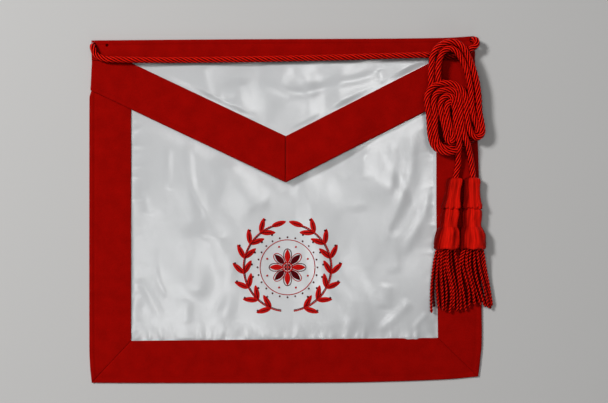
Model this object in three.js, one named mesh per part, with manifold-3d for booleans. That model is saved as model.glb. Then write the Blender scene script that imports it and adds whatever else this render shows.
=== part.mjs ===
// A ceremonial dress apron lying flat and face up, in millimetres, +X right, +Y to its top edge, +Z up.
// A white satin panel is bound on three sides with red ribbed ribbon. A pointed satin flap with its
// own ribbon hangs from the top band, and two red cords are gathered in a hank with two tassels.
import * as THREE from 'three';
import { mergeVertices } from 'three/addons/utils/BufferGeometryUtils.js';
import Module from 'manifold-3d';

const wasm = await Module();
wasm.setup();

// Cloth thicknesses, and the level of each layer's underside
const panelThickness = 1.5;
const ribbonThickness = 1.1;
const flapThickness = 1.2;
const rimThickness = 1.2;
const gap = 0.3;
const borderLevel = panelThickness + gap;
const flapLevel = 3.2;
const flapRibbonLevel = flapLevel + flapThickness + gap;
const bandLevel = flapRibbonLevel + ribbonThickness + gap;
const panelInset = rimThickness + 2 * gap;
const panelTop = { y: 170.3, slope: 0.006 };
const panelRows = { lowest: -173, fieldTop: 128, highest: 173 };

// Ribbon and flap
const ribbonWidth = 42;
const bandWidth = 21;
const mitreGap = 0.4;
const flapApex = { x: 0.4, y: 27.8 };
const flapRibbonRise = 47.3;
const flapCornerY = 124;
const leftSlope = 0.473;
const rightSlope = 0.509;
const flapPanelLeft = -186;
const flapPanelRight = 181;

// Cord, hank and tassels
const cordDiameter = 6.4;
const cordSides = 8;
const notchRadius = 4.3;
const hankHeight = 12.2;
const hankRounding = 3;
const hankBase = { y: 107, z: 6.1, slope: 0.031 };
const tasselFlatness = 0.62;
const tasselFloor = borderLevel + ribbonThickness + gap;
const roundSides = 14;

// The outline as it lies: each side bows a little, and the corners are pulled in
const leftRows = [
  { y: -176.4, x: -197.5 },
  { y: -160, x: -199.2 },
  { y: -137, x: -200 },
  { y: 81, x: -200 },
  { y: 122, x: -198.5 },
  { y: 172, x: -196.5 },
];
const rightRows = [
  { y: -169.8, x: 196.5 },
  { y: -153, x: 198.5 },
  { y: -137, x: 200 },
  { y: -107, x: 200 },
  { y: -30, x: 198.6 },
  { y: 72, x: 196 },
  { y: 122, x: 194 },
  { y: 176.4, x: 191 },
];
const topRows = [
  { x: -196.5, y: 172 },
  { x: -79, y: 173 },
  { x: 19, y: 173.5 },
  { x: 117, y: 174 },
  { x: 165, y: 174.8 },
  { x: 191, y: 176.4 },
];
const bottomRows = [
  { x: -197.5, y: -176.2 },
  { x: -140, y: -176.4 },
  { x: 45, y: -176 },
  { x: 108, y: -174.9 },
  { x: 165, y: -172.6 },
  { x: 196.5, y: -169.8 },
];

// The border's inner edge
const field = { left: -157.3, right: 153.7, bottomLeft: -133.4, bottomRight: -130.3, rightFlare: 1.7 };

// The ridges and hollows of the satin between its seams: centre, direction in degrees from +X,
// half length along it, half width across it, and height
const fieldFolds = [
  { x: -108, y: 52, turn: 84, length: 42, width: 7, height: 0.55 },
  { x: -96, y: 40, turn: 96, length: 34, width: 4, height: -0.6 },
  { x: -86, y: 8, turn: 128, length: 26, width: 4, height: -0.55 },
  { x: -70, y: 36, turn: 118, length: 32, width: 11, height: 0.5 },
  { x: -122, y: 30, turn: 88, length: 16, width: 5, height: -0.5 },
  { x: -112, y: -48, turn: 86, length: 40, width: 16, height: 0.7 },
  { x: -136, y: -80, turn: 70, length: 26, width: 5, height: -0.5 },
  { x: -90, y: -70, turn: 80, length: 30, width: 5, height: -0.5 },
  { x: -72, y: -86, turn: 88, length: 34, width: 10, height: 0.6 },
  { x: 104, y: 40, turn: 84, length: 26, width: 5, height: 0.55 },
  { x: 114, y: 46, turn: 80, length: 22, width: 4, height: -0.5 },
  { x: 126, y: 40, turn: 70, length: 28, width: 5, height: 0.6 },
  { x: 120, y: -2, turn: 62, length: 34, width: 6, height: 0.75 },
  { x: 134, y: -8, turn: 76, length: 26, width: 6, height: -0.6 },
  { x: 102, y: -46, turn: 80, length: 28, width: 8, height: 0.7 },
  { x: 122, y: -62, turn: 86, length: 18, width: 7, height: -0.5 },
  { x: 118, y: -104, turn: 40, length: 30, width: 8, height: 0.55 },
];
const flapFolds = [
  { x: -30, y: 118, turn: 160, length: 40, width: 12, height: 0.5 },
  { x: -92, y: 132, turn: 60, length: 14, width: 6, height: -0.45 },
  { x: -72, y: 140, turn: 100, length: 12, width: 6, height: 0.45 },
  { x: 20, y: 138, turn: 4, length: 44, width: 7, height: -0.45 },
  { x: 60, y: 126, turn: 24, length: 44, width: 7, height: 0.5 },
  { x: 102, y: 142, turn: 70, length: 10, width: 5, height: -0.4 },
];

// The satin's crown between its seams, and how far from a seam or the flap its folds fade in
const crown = { height: 0.8, width: 22 };
const foldFade = { seam: 14, flapMargin: 4, flap: 14, flapRibbon: 10, band: 8 };

// Where the flap stands off the panel, along each of its lower edges
const flapLifts = [
  { x: 84, reach: 58, height: 3 },
  { x: -84, reach: 70, height: 1 },
];
const liftDepth = 50;

// The embroidery lies on a smooth round of the satin
const embroidery = { x: 2, y: -58.5, clear: 60, fade: 14, level: 2.6, thickness: 0.7 };

const mix = (a, b, t) => a + (b - a) * t;
const clamp = (t) => Math.min(Math.max(t, 0), 1);
const ease = (t) => clamp(t) ** 2 * (3 - 2 * clamp(t));
const degrees = Math.PI / 180;

// A smooth curve through the rows of a table, read at one column
function reader(rows, column, value) {
  const slopeAt = (i) => {
    const low = rows[Math.max(i - 1, 0)];
    const high = rows[Math.min(i + 1, rows.length - 1)];
    return (high[value] - low[value]) / (high[column] - low[column]);
  };
  return (at) => {
    const found = rows.findIndex((row) => row[column] > at);
    const next = Math.max(found < 0 ? rows.length - 1 : found, 1);
    const low = rows[next - 1];
    const high = rows[next];
    const span = high[column] - low[column];
    const t = clamp((at - low[column]) / span);
    const bend = t * (1 - t) ** 2 * slopeAt(next - 1) - t ** 2 * (1 - t) * slopeAt(next);
    return mix(low[value], high[value], ease(t)) + span * bend;
  };
}

const leftSide = reader(leftRows, 'y', 'x');
const rightSide = reader(rightRows, 'y', 'x');
const topSide = reader(topRows, 'x', 'y');
const bottomSide = reader(bottomRows, 'x', 'y');
const innerRight = (y) => field.right + field.rightFlare * clamp(-y / 130);

// The flap's lower edge, and the band's lower edge
const flapSlope = (x) => (x < flapApex.x ? -leftSlope : rightSlope);
const flapEdge = (x) => flapApex.y + flapSlope(x) * (x - flapApex.x);
const bandEdge = (x) => 153.4 + 0.01 * x;

// The sum of a table of ridges at one place
function foldHeight(folds, x, y) {
  let height = 0;
  for (const fold of folds) {
    const cos = Math.cos(fold.turn * degrees);
    const sin = Math.sin(fold.turn * degrees);
    const along = ((x - fold.x) * cos + (y - fold.y) * sin) / fold.length;
    const across = ((y - fold.y) * cos - (x - fold.x) * sin) / fold.width;
    height += fold.height * Math.exp(-(along ** 2) - across ** 2);
  }
  return height;
}

// How far the satin stands above the panel: nothing at its seams, a soft crown between them
function satinRise(x, y) {
  const seam = Math.min(x - field.left, innerRight(y) - x, y - field.bottomLeft);
  const fromCentre = Math.hypot(x - embroidery.x, y - embroidery.y);
  const calm = ease((fromCentre - embroidery.clear) / embroidery.fade);
  const shown = 1 - ease((y - flapEdge(x) + foldFade.flapMargin) / foldFade.flap);
  const folds = foldHeight(fieldFolds, x, y) * calm * shown * ease(seam / foldFade.seam);
  return crown.height * ease(seam / crown.width) + folds;
}

// How far the flap stands off the panel
function flapRise(x, y) {
  const fade = 1 - ease((y - flapEdge(x)) / liftDepth);
  let rise = 0;
  for (const lift of flapLifts) {
    rise += lift.height * fade * ease(1 - Math.abs(x - lift.x) / lift.reach);
  }
  return rise;
}

// Turns a geometry into one closed mesh whose faces point out
function closed(geometry) {
  const bare = geometry.index ? geometry : geometry.clone();
  bare.deleteAttribute('normal');
  bare.deleteAttribute('uv');
  const merged = mergeVertices(bare, 1e-4);
  const at = merged.getAttribute('position');
  const index = merged.getIndex();
  const [a, b, c] = [new THREE.Vector3(), new THREE.Vector3(), new THREE.Vector3()];
  let volume = 0;
  for (let i = 0; i < index.count; i += 3) {
    a.fromBufferAttribute(at, index.getX(i));
    b.fromBufferAttribute(at, index.getX(i + 1));
    c.fromBufferAttribute(at, index.getX(i + 2));
    volume += a.dot(b.cross(c));
  }
  if (volume < 0) {
    for (let i = 0; i < index.count; i += 3) {
      const first = index.getX(i);
      index.setX(i, index.getX(i + 1));
      index.setX(i + 1, first);
    }
  }
  merged.computeVertexNormals();
  return merged;
}

function toManifold(geometry) {
  const solid = closed(geometry);
  return new wasm.Manifold(new wasm.Mesh({
    numProp: 3,
    vertProperties: new Float32Array(solid.getAttribute('position').array),
    triVerts: new Uint32Array(solid.getIndex().array),
  }));
}

function fromManifold(solid) {
  const mesh = solid.getMesh();
  const geometry = new THREE.BufferGeometry();
  geometry.setAttribute('position', new THREE.BufferAttribute(new Float32Array(mesh.vertProperties), 3));
  geometry.setIndex(new THREE.BufferAttribute(new Uint32Array(mesh.triVerts), 1));
  return closed(geometry);
}

function joined(geometries) {
  return fromManifold(geometries.map(toManifold).reduce((all, one) => all.add(one)));
}

function cut(geometry, tools) {
  return fromManifold(tools.map(toManifold).reduce((all, one) => all.subtract(one), toManifold(geometry)));
}

// A cloth strip: a cross-section of [across, height] points swept through rows from 0 to 1.
// place gives the plan position of a point, and level its height.
function cloth({ section, rows, place, level }) {
  const shape = new THREE.Shape(section.map(([across, height]) => new THREE.Vector2(across, height)));
  const steps = rows.length - 1;
  const geometry = new THREE.ExtrudeGeometry(shape, { depth: 1, steps, bevelEnabled: false });
  const at = geometry.getAttribute('position');
  for (let i = 0; i < at.count; i += 1) {
    const row = rows[Math.round(at.getZ(i) * steps)];
    const [x, y] = place(at.getX(i), row);
    at.setXYZ(i, x, y, level(x, y, at.getY(i)));
  }
  return closed(geometry);
}

const evenly = (count) => Array.from({ length: count + 1 }, (_, i) => i / count);

// A ribbon's cross-section, with its outer edge rolled and reaching down to foot
function ribbonSection(level, foot, middle = [], width = ribbonWidth) {
  const top = level + ribbonThickness;
  return [
    [0, foot],
    [rimThickness, foot],
    [rimThickness, level],
    ...middle.map((across) => [across, level]),
    [width, level],
    [width, top - 0.2],
    [width - 0.5, top],
    ...middle.toReversed().map((across) => [across, top]),
    [1.2, top],
    [0.35, top - 0.35],
    [0, top - 1],
  ];
}

// A point between an outer and an inner edge, each a function of the way along
const between = (outer, inner, width) => (across, along) => {
  const [x0, y0] = outer(along);
  const [x1, y1] = inner(along);
  return [mix(x0, x1, across / width), mix(y0, y1, across / width)];
};

const flatLevel = (x, y, height) => height;

// The body panel: flat underneath, with the satin's folds on top
function bodyPanel() {
  const seams = evenly(32).map((t) => mix(field.left, field.right, t));
  const last = seams.length + 1;
  const columns = [0, ...seams.map((_, i) => i + 1), last];
  const section = [
    ...columns.filter((i) => i === 0 || i === last || i % 8 === 1).map((i) => [i, 0]),
    ...columns.toReversed().map((i) => [i, 1]),
  ];
  const fieldRows = evenly(26).map((t) => mix(field.bottomLeft, panelRows.fieldTop, t));
  const place = (column, row) => {
    const ends = [leftSide(row) + panelInset, rightSide(row) - panelInset];
    const seam = Math.min(seams[column - 1], innerRight(row));
    const x = column === 0 ? ends[0] : column === last ? ends[1] : seam;
    if (row === panelRows.lowest) {
      return [x, bottomSide(x) + panelInset];
    }
    return [x, row === panelRows.highest ? panelTop.y + panelTop.slope * x : row];
  };
  const level = (x, y, side) => {
    const inside = x > field.left && x < field.right && y > field.bottomLeft;
    return side * (panelThickness + (inside ? satinRise(x, y) : 0));
  };
  return cloth({ section, rows: [panelRows.lowest, ...fieldRows, panelRows.highest], place, level });
}

// A border ribbon, sewn flat on the panel and rolled down over its edge
function border(outer, inner) {
  const flat = between(outer, inner, ribbonWidth);
  const place = (across, along) => {
    const [x, y] = flat(across, along);
    return [x, Math.min(y, topSide(x) - panelInset)];
  };
  return cloth({ section: ribbonSection(borderLevel, 0), rows: evenly(20), place, level: flatLevel });
}

function borderLeft() {
  const outer = (t) => {
    const y = mix(leftRows[0].y + mitreGap, topRows[0].y - panelInset, t);
    return [leftSide(y), y];
  };
  const inner = (t) => [field.left, mix(field.bottomLeft + mitreGap, topSide(field.left) - panelInset, t)];
  return border(outer, inner);
}

function borderRight() {
  const highest = topRows.at(-1).y - panelInset;
  const outer = (t) => {
    const y = mix(rightRows[0].y + mitreGap, highest, t);
    return [rightSide(y), y];
  };
  const inner = (t) => {
    const y = mix(field.bottomRight + mitreGap, highest, t);
    return [innerRight(y), y];
  };
  return border(outer, inner);
}

function borderBottom() {
  const outer = (t) => {
    const x = mix(bottomRows[0].x, bottomRows.at(-1).x, t);
    return [x, bottomSide(x)];
  };
  const inner = (t) => [
    mix(field.left, innerRight(field.bottomRight), t),
    mix(field.bottomLeft, field.bottomRight, t),
  ];
  return border(outer, inner);
}

// The flap: a satin piece from the top edge to the apex, under its ribbons
function flapPanel() {
  const rows = evenly(28);
  const layers = evenly(9);
  const section = [
    ...evenly(3).map((t) => [t, 0]),
    ...layers.toReversed().map((t) => [t, 1]),
  ];
  const inset = panelInset / Math.cos(Math.atan(rightSlope));
  const place = (up, along) => {
    const x = along < 0.5
      ? mix(flapPanelLeft, flapApex.x, along * 2)
      : mix(flapApex.x, flapPanelRight, along * 2 - 1);
    return [x, mix(flapEdge(x) + inset, topSide(x) - panelInset, up)];
  };
  const level = (x, y, side) => {
    const fromRibbon = ease((y - flapEdge(x) - flapRibbonRise) / foldFade.flapRibbon);
    const fromBand = ease((bandEdge(x) - y) / foldFade.band);
    const fold = fromRibbon * fromBand * foldHeight(flapFolds, x, y);
    return flapLevel + flapRise(x, y) + side * (flapThickness + fold);
  };
  return cloth({ section, rows, place, level });
}

// A flap ribbon runs from the apron's side to the mitre below the apex
function flapRibbon(side) {
  const end = side < 0 ? leftSide : rightSide;
  const mitre = flapApex.x + (side * mitreGap) / 2;
  const corner = flapEdge(end(flapCornerY));
  const place = (across, along) => {
    const rise = (flapRibbonRise * across) / ribbonWidth;
    const x = mix(mitre, end(corner + rise), along);
    return [x, Math.min(flapEdge(x) + rise, topSide(x) - panelInset)];
  };
  return cloth({
    section: ribbonSection(flapRibbonLevel, flapLevel, [8, 16, 24, 33]),
    rows: evenly(16),
    place,
    level: (x, y, height) => height + flapRise(x, y),
  });
}

// The band folds over the top edge and down to the surface behind it
function topBand() {
  const outer = (t) => {
    const x = mix(topRows[0].x, topRows.at(-1).x, t);
    return [x, topSide(x)];
  };
  const inner = (t) => {
    const x = mix(leftSide(bandEdge(-195)), rightSide(bandEdge(190)), t);
    return [x, bandEdge(x)];
  };
  return cloth({
    section: ribbonSection(bandLevel, 0, [], bandWidth),
    rows: evenly(16),
    place: between(outer, inner, bandWidth),
    level: flatLevel,
  });
}

// The cords come up from the back through a notch at each top corner
const notches = { left: { x: -194.4, y: 170.2 }, right: { x: 190.8, y: 173.2 } };
const eyelet = { x: -180.7, y: 166.9, radius: 1.4 };
const postHeight = 40;

function post({ x, y }, radius) {
  const geometry = new THREE.CylinderGeometry(radius, radius, postHeight, roundSides);
  geometry.rotateX(90 * degrees);
  geometry.translate(x, y, 0);
  return geometry;
}

const leftNotch = () => post(notches.left, notchRadius);
const rightNotch = () => post(notches.right, notchRadius);
const eyeletHole = () => post(eyelet, eyelet.radius);

// Embroidery: a ring of two leafy sprays, tied below, around an eight-petalled rosette
const spray = {
  radius: 45,
  stem: 1.6,
  from: -82,
  to: 72,
  bareStem: 14,
  tipOverlap: 3,
  leafPairs: 7,
  leafLength: 16,
  leafWidth: 6,
  splay: 38,
};
const rosette = { radius: 19, waist: 0.7, petals: 8 };

const onRing = (radius, turn) => new THREE.Vector2(radius * Math.cos(turn), radius * Math.sin(turn));

function flatPiece(points) {
  const shape = new THREE.Shape(points);
  const geometry = new THREE.ExtrudeGeometry(shape, { depth: embroidery.thickness, bevelEnabled: false });
  geometry.translate(embroidery.x, embroidery.y, embroidery.level);
  return geometry;
}

function leaf(x, y, turn, length, width) {
  const outline = [[0, 0], [0.25, 0.38], [0.6, 0.42], [1, 0], [0.6, -0.42], [0.25, -0.38]];
  return flatPiece(outline.map(([along, across]) => new THREE.Vector2(
    x + along * length * Math.cos(turn) - across * width * Math.sin(turn),
    y + along * length * Math.sin(turn) + across * width * Math.cos(turn),
  )));
}

function leafySpray(side) {
  const turnAt = (angle) => (side < 0 ? 180 - angle : angle) * degrees;
  const arc = evenly(20).map((t) => turnAt(mix(spray.from, spray.to, t)));
  const stem = flatPiece([
    ...arc.map((turn) => onRing(spray.radius - spray.stem / 2, turn)),
    ...arc.toReversed().map((turn) => onRing(spray.radius + spray.stem / 2, turn)),
  ]);
  const pieces = [stem];
  for (let i = 0; i <= spray.leafPairs; i += 1) {
    const atTip = i === spray.leafPairs;
    const angle = mix(spray.from + spray.bareStem, spray.to, i / spray.leafPairs);
    const foot = onRing(spray.radius, turnAt(atTip ? angle - spray.tipOverlap : angle));
    for (const splay of atTip ? [0] : [-spray.splay, spray.splay]) {
      const turn = turnAt(angle + 90) + splay * degrees;
      pieces.push(leaf(foot.x, foot.y, turn, spray.leafLength, spray.leafWidth));
    }
  }
  return joined(pieces);
}

function rosettePiece() {
  const points = evenly(rosette.petals * 6).slice(0, -1).map((t) => {
    const petal = Math.abs(Math.cos(rosette.petals * Math.PI * t));
    return onRing(rosette.radius * mix(rosette.waist, 1, petal), 2 * Math.PI * t);
  });
  return closed(flatPiece(points));
}

// Each cord's route in the stretch that isn't in the hank
const routes = {
  cord_left: [
    [-194.4, 170.2, 0.4],
    [-194.4, 170.2, 5.8],
    [-194.2, 168.9, 9.3],
    [-193.6, 165.4, 10.9],
    [-191.6, 159.5, 10.8],
    [-188.2, 155, 10.7],
    [-181.5, 152.5, 10.7],
    [-168.5, 151.8, 10.7],
    [-148, 151.5, 10.7],
    [-124, 151.3, 10.7],
    [-95, 151.4, 10.7],
    [-66, 151.7, 10.7],
    [-36, 152.1, 10.7],
    [-6, 152.6, 10.7],
    [25, 153.3, 10.7],
    [56, 154, 10.7],
    [96, 155.2, 10.7],
    [120, 155.9, 10.7],
    [144.6, 156.4, 10.7],
  ],
  cord_right: [
    [190.8, 173.2, 0.4],
    [190.8, 173.2, 5.6],
    [191.3, 172.7, 8.7],
    [193.3, 170.4, 11],
    [194.2, 166.6, 11.2],
    [192.3, 163.4, 11.2],
    [188.8, 162, 11.2],
  ],
  tassel_lead_left: [
    [176.6, 62.2, 8],
    [176, 57, 7.4],
    [175, 46, 6.7],
    [172.6, 33.8, 6.6],
  ],
  tassel_lead_right: [
    [185.4, 70.8, 8.5],
    [186.6, 57, 7.4],
    [188.6, 46.8, 6.7],
    [190, 33.6, 6.6],
  ],
};

// Steps follow the listed points, so that a tight bend has short ones
class RouteCurve extends THREE.CatmullRomCurve3 {
  getPointAt(t) {
    return this.getPoint(t);
  }

  getTangentAt(t) {
    return this.getTangent(t);
  }
}

function cordTube(points) {
  const path = new RouteCurve(points.map((point) => new THREE.Vector3(...point)));
  const section = new THREE.Shape(evenly(cordSides).slice(0, -1).map((t) => new THREE.Vector2(
    (cordDiameter / 2) * Math.cos(2 * Math.PI * t),
    (cordDiameter / 2) * Math.sin(2 * Math.PI * t),
  )));
  return closed(new THREE.ExtrudeGeometry(section, { steps: 2 * (points.length - 1), extrudePath: path }));
}

// The hank: the outer shape of the gathered turns, with the loop's window open
const hankOutline = [
  [145, 126], [145.2, 150], [148, 161], [156, 171], [167.5, 174], [177, 169], [186, 159.5], [192.5, 147],
  [197, 131], [199.6, 115], [201, 99], [202, 86], [200, 76.5], [192, 72.4], [183.4, 73], [179.8, 66],
  [173, 62.6], [168, 57.6], [160, 55.6], [149.5, 60], [143.8, 70], [142, 86], [141, 106], [140.4, 117],
];
const hankWindow = [
  [160.4, 131.6], [166, 131.6], [176, 129.8], [184, 133], [179, 147], [174, 154.5], [164, 155], [160, 151],
];

function roundedLoop(points, steps) {
  const vectors = [...points, points[0]].map(([x, y]) => new THREE.Vector2(x, y));
  return new THREE.SplineCurve(vectors).getPoints(steps).slice(0, -1);
}

function cordHank() {
  const shape = new THREE.Shape(roundedLoop(hankOutline, 46));
  shape.holes.push(new THREE.Path(roundedLoop(hankWindow, 16)));
  const geometry = new THREE.ExtrudeGeometry(shape, {
    depth: hankHeight - 2 * hankRounding,
    bevelThickness: hankRounding,
    bevelSize: hankRounding,
    bevelOffset: -hankRounding,
    bevelSegments: 2,
  });
  const at = geometry.getAttribute('position');
  for (let i = 0; i < at.count; i += 1) {
    const base = hankBase.z + (at.getY(i) - hankBase.y) * hankBase.slope;
    at.setZ(i, at.getZ(i) + hankRounding + base);
  }
  return closed(geometry);
}

// A tassel: a thread-covered head in tiers over a skirt of twisted locks
const headRows = [
  { drop: 0, half: 5 },
  { drop: 2.4, half: 7.9 },
  { drop: 12.5, half: 9.2 },
  { drop: 27.8, half: 9.8 },
  { drop: 30.9, half: 9.2 },
  { drop: 33.9, half: 9.9 },
  { drop: 46.1, half: 9.8 },
  { drop: 49.2, half: 9.3 },
  { drop: 52.2, half: 10.2 },
  { drop: 61.4, half: 12.2 },
  { drop: 68.5, half: 12.9 },
  { drop: 71.6, half: 11.8 },
];
const skirt = {
  from: 60,
  spreadAtHead: 8,
  spreadAtEnd: 12.8,
  lockAtHead: 2.9,
  lockAtEnd: 2.7,
  unevenEnds: 1.5,
};
const lockLayers = [
  { locks: 7, lift: 2.9, spread: 1, shorter: 0 },
  { locks: 6, lift: 7.2, spread: 0.9, shorter: 1.5 },
];
const lockSides = 7;
const tasselLeft = {
  top: { x: 172.1, y: 32.9 },
  length: 137.8,
  lean: [
    { drop: 0, x: 0 },
    { drop: 30, x: -4.1 },
    { drop: 62, x: -8.4 },
    { drop: 72, x: -9 },
    { drop: 138, x: -9.6 },
  ],
};
const tasselRight = {
  top: { x: 189.9, y: 33.1 },
  length: 136,
  lean: [
    { drop: 0, x: 0 },
    { drop: 30, x: 0.5 },
    { drop: 48, x: 0 },
    { drop: 72, x: 0.6 },
    { drop: 138, x: 5.4 },
  ],
};

// The head is turned, then flattened on to the surface and leant sideways
function tasselHead(leanAt) {
  const profile = [
    new THREE.Vector2(0, 0),
    ...headRows.map(({ drop, half }) => new THREE.Vector2(half, -drop)),
    new THREE.Vector2(0, -headRows.at(-1).drop),
  ];
  const head = new THREE.LatheGeometry(profile, roundSides);
  const halfAt = reader(headRows, 'drop', 'half');
  const at = head.getAttribute('position');
  for (let i = 0; i < at.count; i += 1) {
    const drop = -at.getY(i);
    at.setXYZ(i, at.getX(i) + leanAt(drop), -drop, (at.getZ(i) + halfAt(drop)) * tasselFlatness);
  }
  return head;
}

// One lock of the fringe, share running from -1 at the left to 1 at the right
function fringeLock(share, lift, end, length, leanAt) {
  const lock = new THREE.CylinderGeometry(skirt.lockAtHead, skirt.lockAtEnd, end - skirt.from, lockSides, 2);
  lock.translate(0, -(skirt.from + end) / 2, 0);
  const at = lock.getAttribute('position');
  for (let i = 0; i < at.count; i += 1) {
    const drop = -at.getY(i);
    const fan = (drop - skirt.from) / (length - skirt.from);
    const offset = share * mix(skirt.spreadAtHead, skirt.spreadAtEnd, fan);
    at.setXYZ(i, at.getX(i) + leanAt(drop) + offset, -drop, at.getZ(i) + lift);
  }
  return lock;
}

function tassel({ top, length, lean }) {
  const leanAt = reader(lean, 'drop', 'x');
  const pieces = [tasselHead(leanAt)];
  for (const layer of lockLayers) {
    for (let i = 0; i < layer.locks; i += 1) {
      const share = layer.spread * ((2 * i) / (layer.locks - 1) - 1);
      const end = length - layer.shorter - skirt.unevenEnds * ((i * 3) % 4);
      pieces.push(fringeLock(share, layer.lift, end, length, leanAt));
    }
  }
  const geometry = joined(pieces);
  geometry.translate(top.x, top.y, tasselFloor);
  return geometry;
}

// Finishes
const satin = { color: 0xd9d9db, roughness: 0.42, metalness: 0 };
const ribbon = { color: 0x9c0d08, roughness: 0.7, metalness: 0 };
const thread = { color: 0x7c0d12, roughness: 0.6, metalness: 0 };
const cordYarn = { color: 0xc8140c, roughness: 0.45, metalness: 0 };

const apron = new THREE.Group();

function add(name, geometry, finish) {
  const mesh = new THREE.Mesh(geometry, new THREE.MeshStandardMaterial(finish));
  mesh.name = name;
  apron.add(mesh);
}

add('body_panel', cut(bodyPanel(), [leftNotch(), rightNotch()]), satin);
add('border_left', cut(borderLeft(), [leftNotch()]), ribbon);
add('border_right', cut(borderRight(), [rightNotch()]), ribbon);
add('border_bottom', borderBottom(), ribbon);
add('flap_panel', flapPanel(), satin);
add('flap_ribbon_left', cut(flapRibbon(-1), [leftNotch(), eyeletHole()]), ribbon);
add('flap_ribbon_right', cut(flapRibbon(1), [rightNotch()]), ribbon);
add('top_band', cut(topBand(), [leftNotch(), rightNotch(), eyeletHole()]), ribbon);
add('embroidered_spray_left', leafySpray(-1), thread);
add('embroidered_spray_right', leafySpray(1), thread);
add('embroidered_rosette', rosettePiece(), thread);
for (const [name, points] of Object.entries(routes)) {
  add(name, cordTube(points), cordYarn);
}
add('cord_hank', cordHank(), cordYarn);
add('tassel_left', tassel(tasselLeft), cordYarn);
add('tassel_right', tassel(tasselRight), cordYarn);

export default apron;
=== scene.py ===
import math
import random

import bpy
import numpy as np
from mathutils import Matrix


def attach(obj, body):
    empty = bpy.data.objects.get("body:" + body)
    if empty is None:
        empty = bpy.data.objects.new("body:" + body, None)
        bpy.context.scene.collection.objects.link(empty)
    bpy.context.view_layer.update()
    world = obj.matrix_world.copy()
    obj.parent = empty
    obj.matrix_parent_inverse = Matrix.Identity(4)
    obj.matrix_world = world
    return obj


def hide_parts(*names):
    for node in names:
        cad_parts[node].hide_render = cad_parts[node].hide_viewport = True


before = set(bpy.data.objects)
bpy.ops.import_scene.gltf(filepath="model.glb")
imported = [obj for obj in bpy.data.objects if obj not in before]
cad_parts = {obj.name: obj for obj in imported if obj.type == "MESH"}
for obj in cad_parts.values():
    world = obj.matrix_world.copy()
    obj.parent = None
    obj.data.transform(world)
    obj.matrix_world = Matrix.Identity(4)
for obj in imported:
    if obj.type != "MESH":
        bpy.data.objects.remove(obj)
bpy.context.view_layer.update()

# A satin dress apron edged in red ribbon, lying face up with its two cords gathered in a hank.
# Metres, in the model's own frame: +X right, +Y to the top edge, +Z up.
mm = 0.001
dice = random.Random(11)


def say(stage):
    print(f"apron: {stage}")


def putInScene(name, data):
    made = bpy.data.objects.new(name, data)
    bpy.context.scene.collection.objects.link(made)
    return made


# The camera looks straight down, and pixels are those of a 608 by 403 picture
camera = {
    "lens": 50.0, "sensor": 36.0, "clip": (0.05, 20), "pictureWidth": 608, "pixelSize": 1.018 * mm,
    "middle": (304.0, 201.5), "origin": (285.5, 210.0), "levelSeen": 3 * mm,
}
cameraDistance = camera["pictureWidth"] * camera["pixelSize"] * camera["lens"] / camera["sensor"]


def flatPixel(px, py):
    originX, originY = camera["origin"]
    return (px - originX) * camera["pixelSize"], (originY - py) * camera["pixelSize"]


# The point at height z that shows at a pixel
def atPixel(px, py, z):
    x, y = flatPixel(px, py)
    cx, cy = flatPixel(*camera["middle"])
    nearer = 1 - (z - camera["levelSeen"]) / cameraDistance
    return cx + (x - cx) * nearer, cy + (y - cy) * nearer, z


def makeCamera():
    data = bpy.data.cameras.new("cameraAbove")
    data.lens = camera["lens"]
    data.sensor_width = camera["sensor"]
    data.clip_start, data.clip_end = camera["clip"]
    seen = putInScene("cameraAbove", data)
    seen.location = (*flatPixel(*camera["middle"]), cameraDistance + camera["levelSeen"])
    bpy.context.scene.camera = seen


makeCamera()
say("camera")


# Small maths for curves and tables
def ease(t):
    t = np.clip(t, 0, 1)
    return t * t * (3 - 2 * t)


def mix(a, b, t):
    return a + (b - a) * t


def hump(at, middle, half):
    return np.exp(-(((at - middle) / half) ** 2))


# A smooth function through the rows of a table
def throughRows(rows):
    at, value = np.array(rows, float).T
    slope = np.gradient(value, at)
    slope[1:-1] = (value[2:] - value[:-2]) / (at[2:] - at[:-2])

    def read(where):
        where = np.asarray(where, float)
        low = np.clip(np.searchsorted(at, where, side="right") - 1, 0, len(at) - 2)
        span = at[low + 1] - at[low]
        t = np.clip((where - at[low]) / span, 0, 1)
        bend = t * (1 - t) ** 2 * slope[low] - t ** 2 * (1 - t) * slope[low + 1]
        return mix(value[low], value[low + 1], ease(t)) + span * bend

    return read


# A soft unevenness in cloth: waves that turn and grow longer one after another
rippleWaves = {"count": 5, "seedTurn": 1.7, "turn": 2.4, "shortest": 0.7, "longer": 0.23}


def ripple(x, y, size, seed):
    total = 0 * x
    for k in range(rippleWaves["count"]):
        turn = seed * rippleWaves["seedTurn"] + k * rippleWaves["turn"]
        length = size * (rippleWaves["shortest"] + rippleWaves["longer"] * k)
        wave = (x * math.cos(turn) + y * math.sin(turn)) * 2 * math.pi / length
        total = total + np.sin(wave + seed * (k + 1))
    return total / rippleWaves["count"]


# Smooth noise between -1 and 1 over cells of unit size
noiseCells = 64


def softNoise(x, y, seed):
    table = np.random.RandomState(seed).uniform(-1, 1, (noiseCells, noiseCells))
    i, j = np.floor(x).astype(int), np.floor(y).astype(int)
    u, v = ease(x - i), ease(y - j)

    def corner(across, up):
        return table[(i + across) % noiseCells, (j + up) % noiseCells]

    return mix(mix(corner(0, 0), corner(1, 0), u), mix(corner(0, 1), corner(1, 1), u), v)


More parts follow.
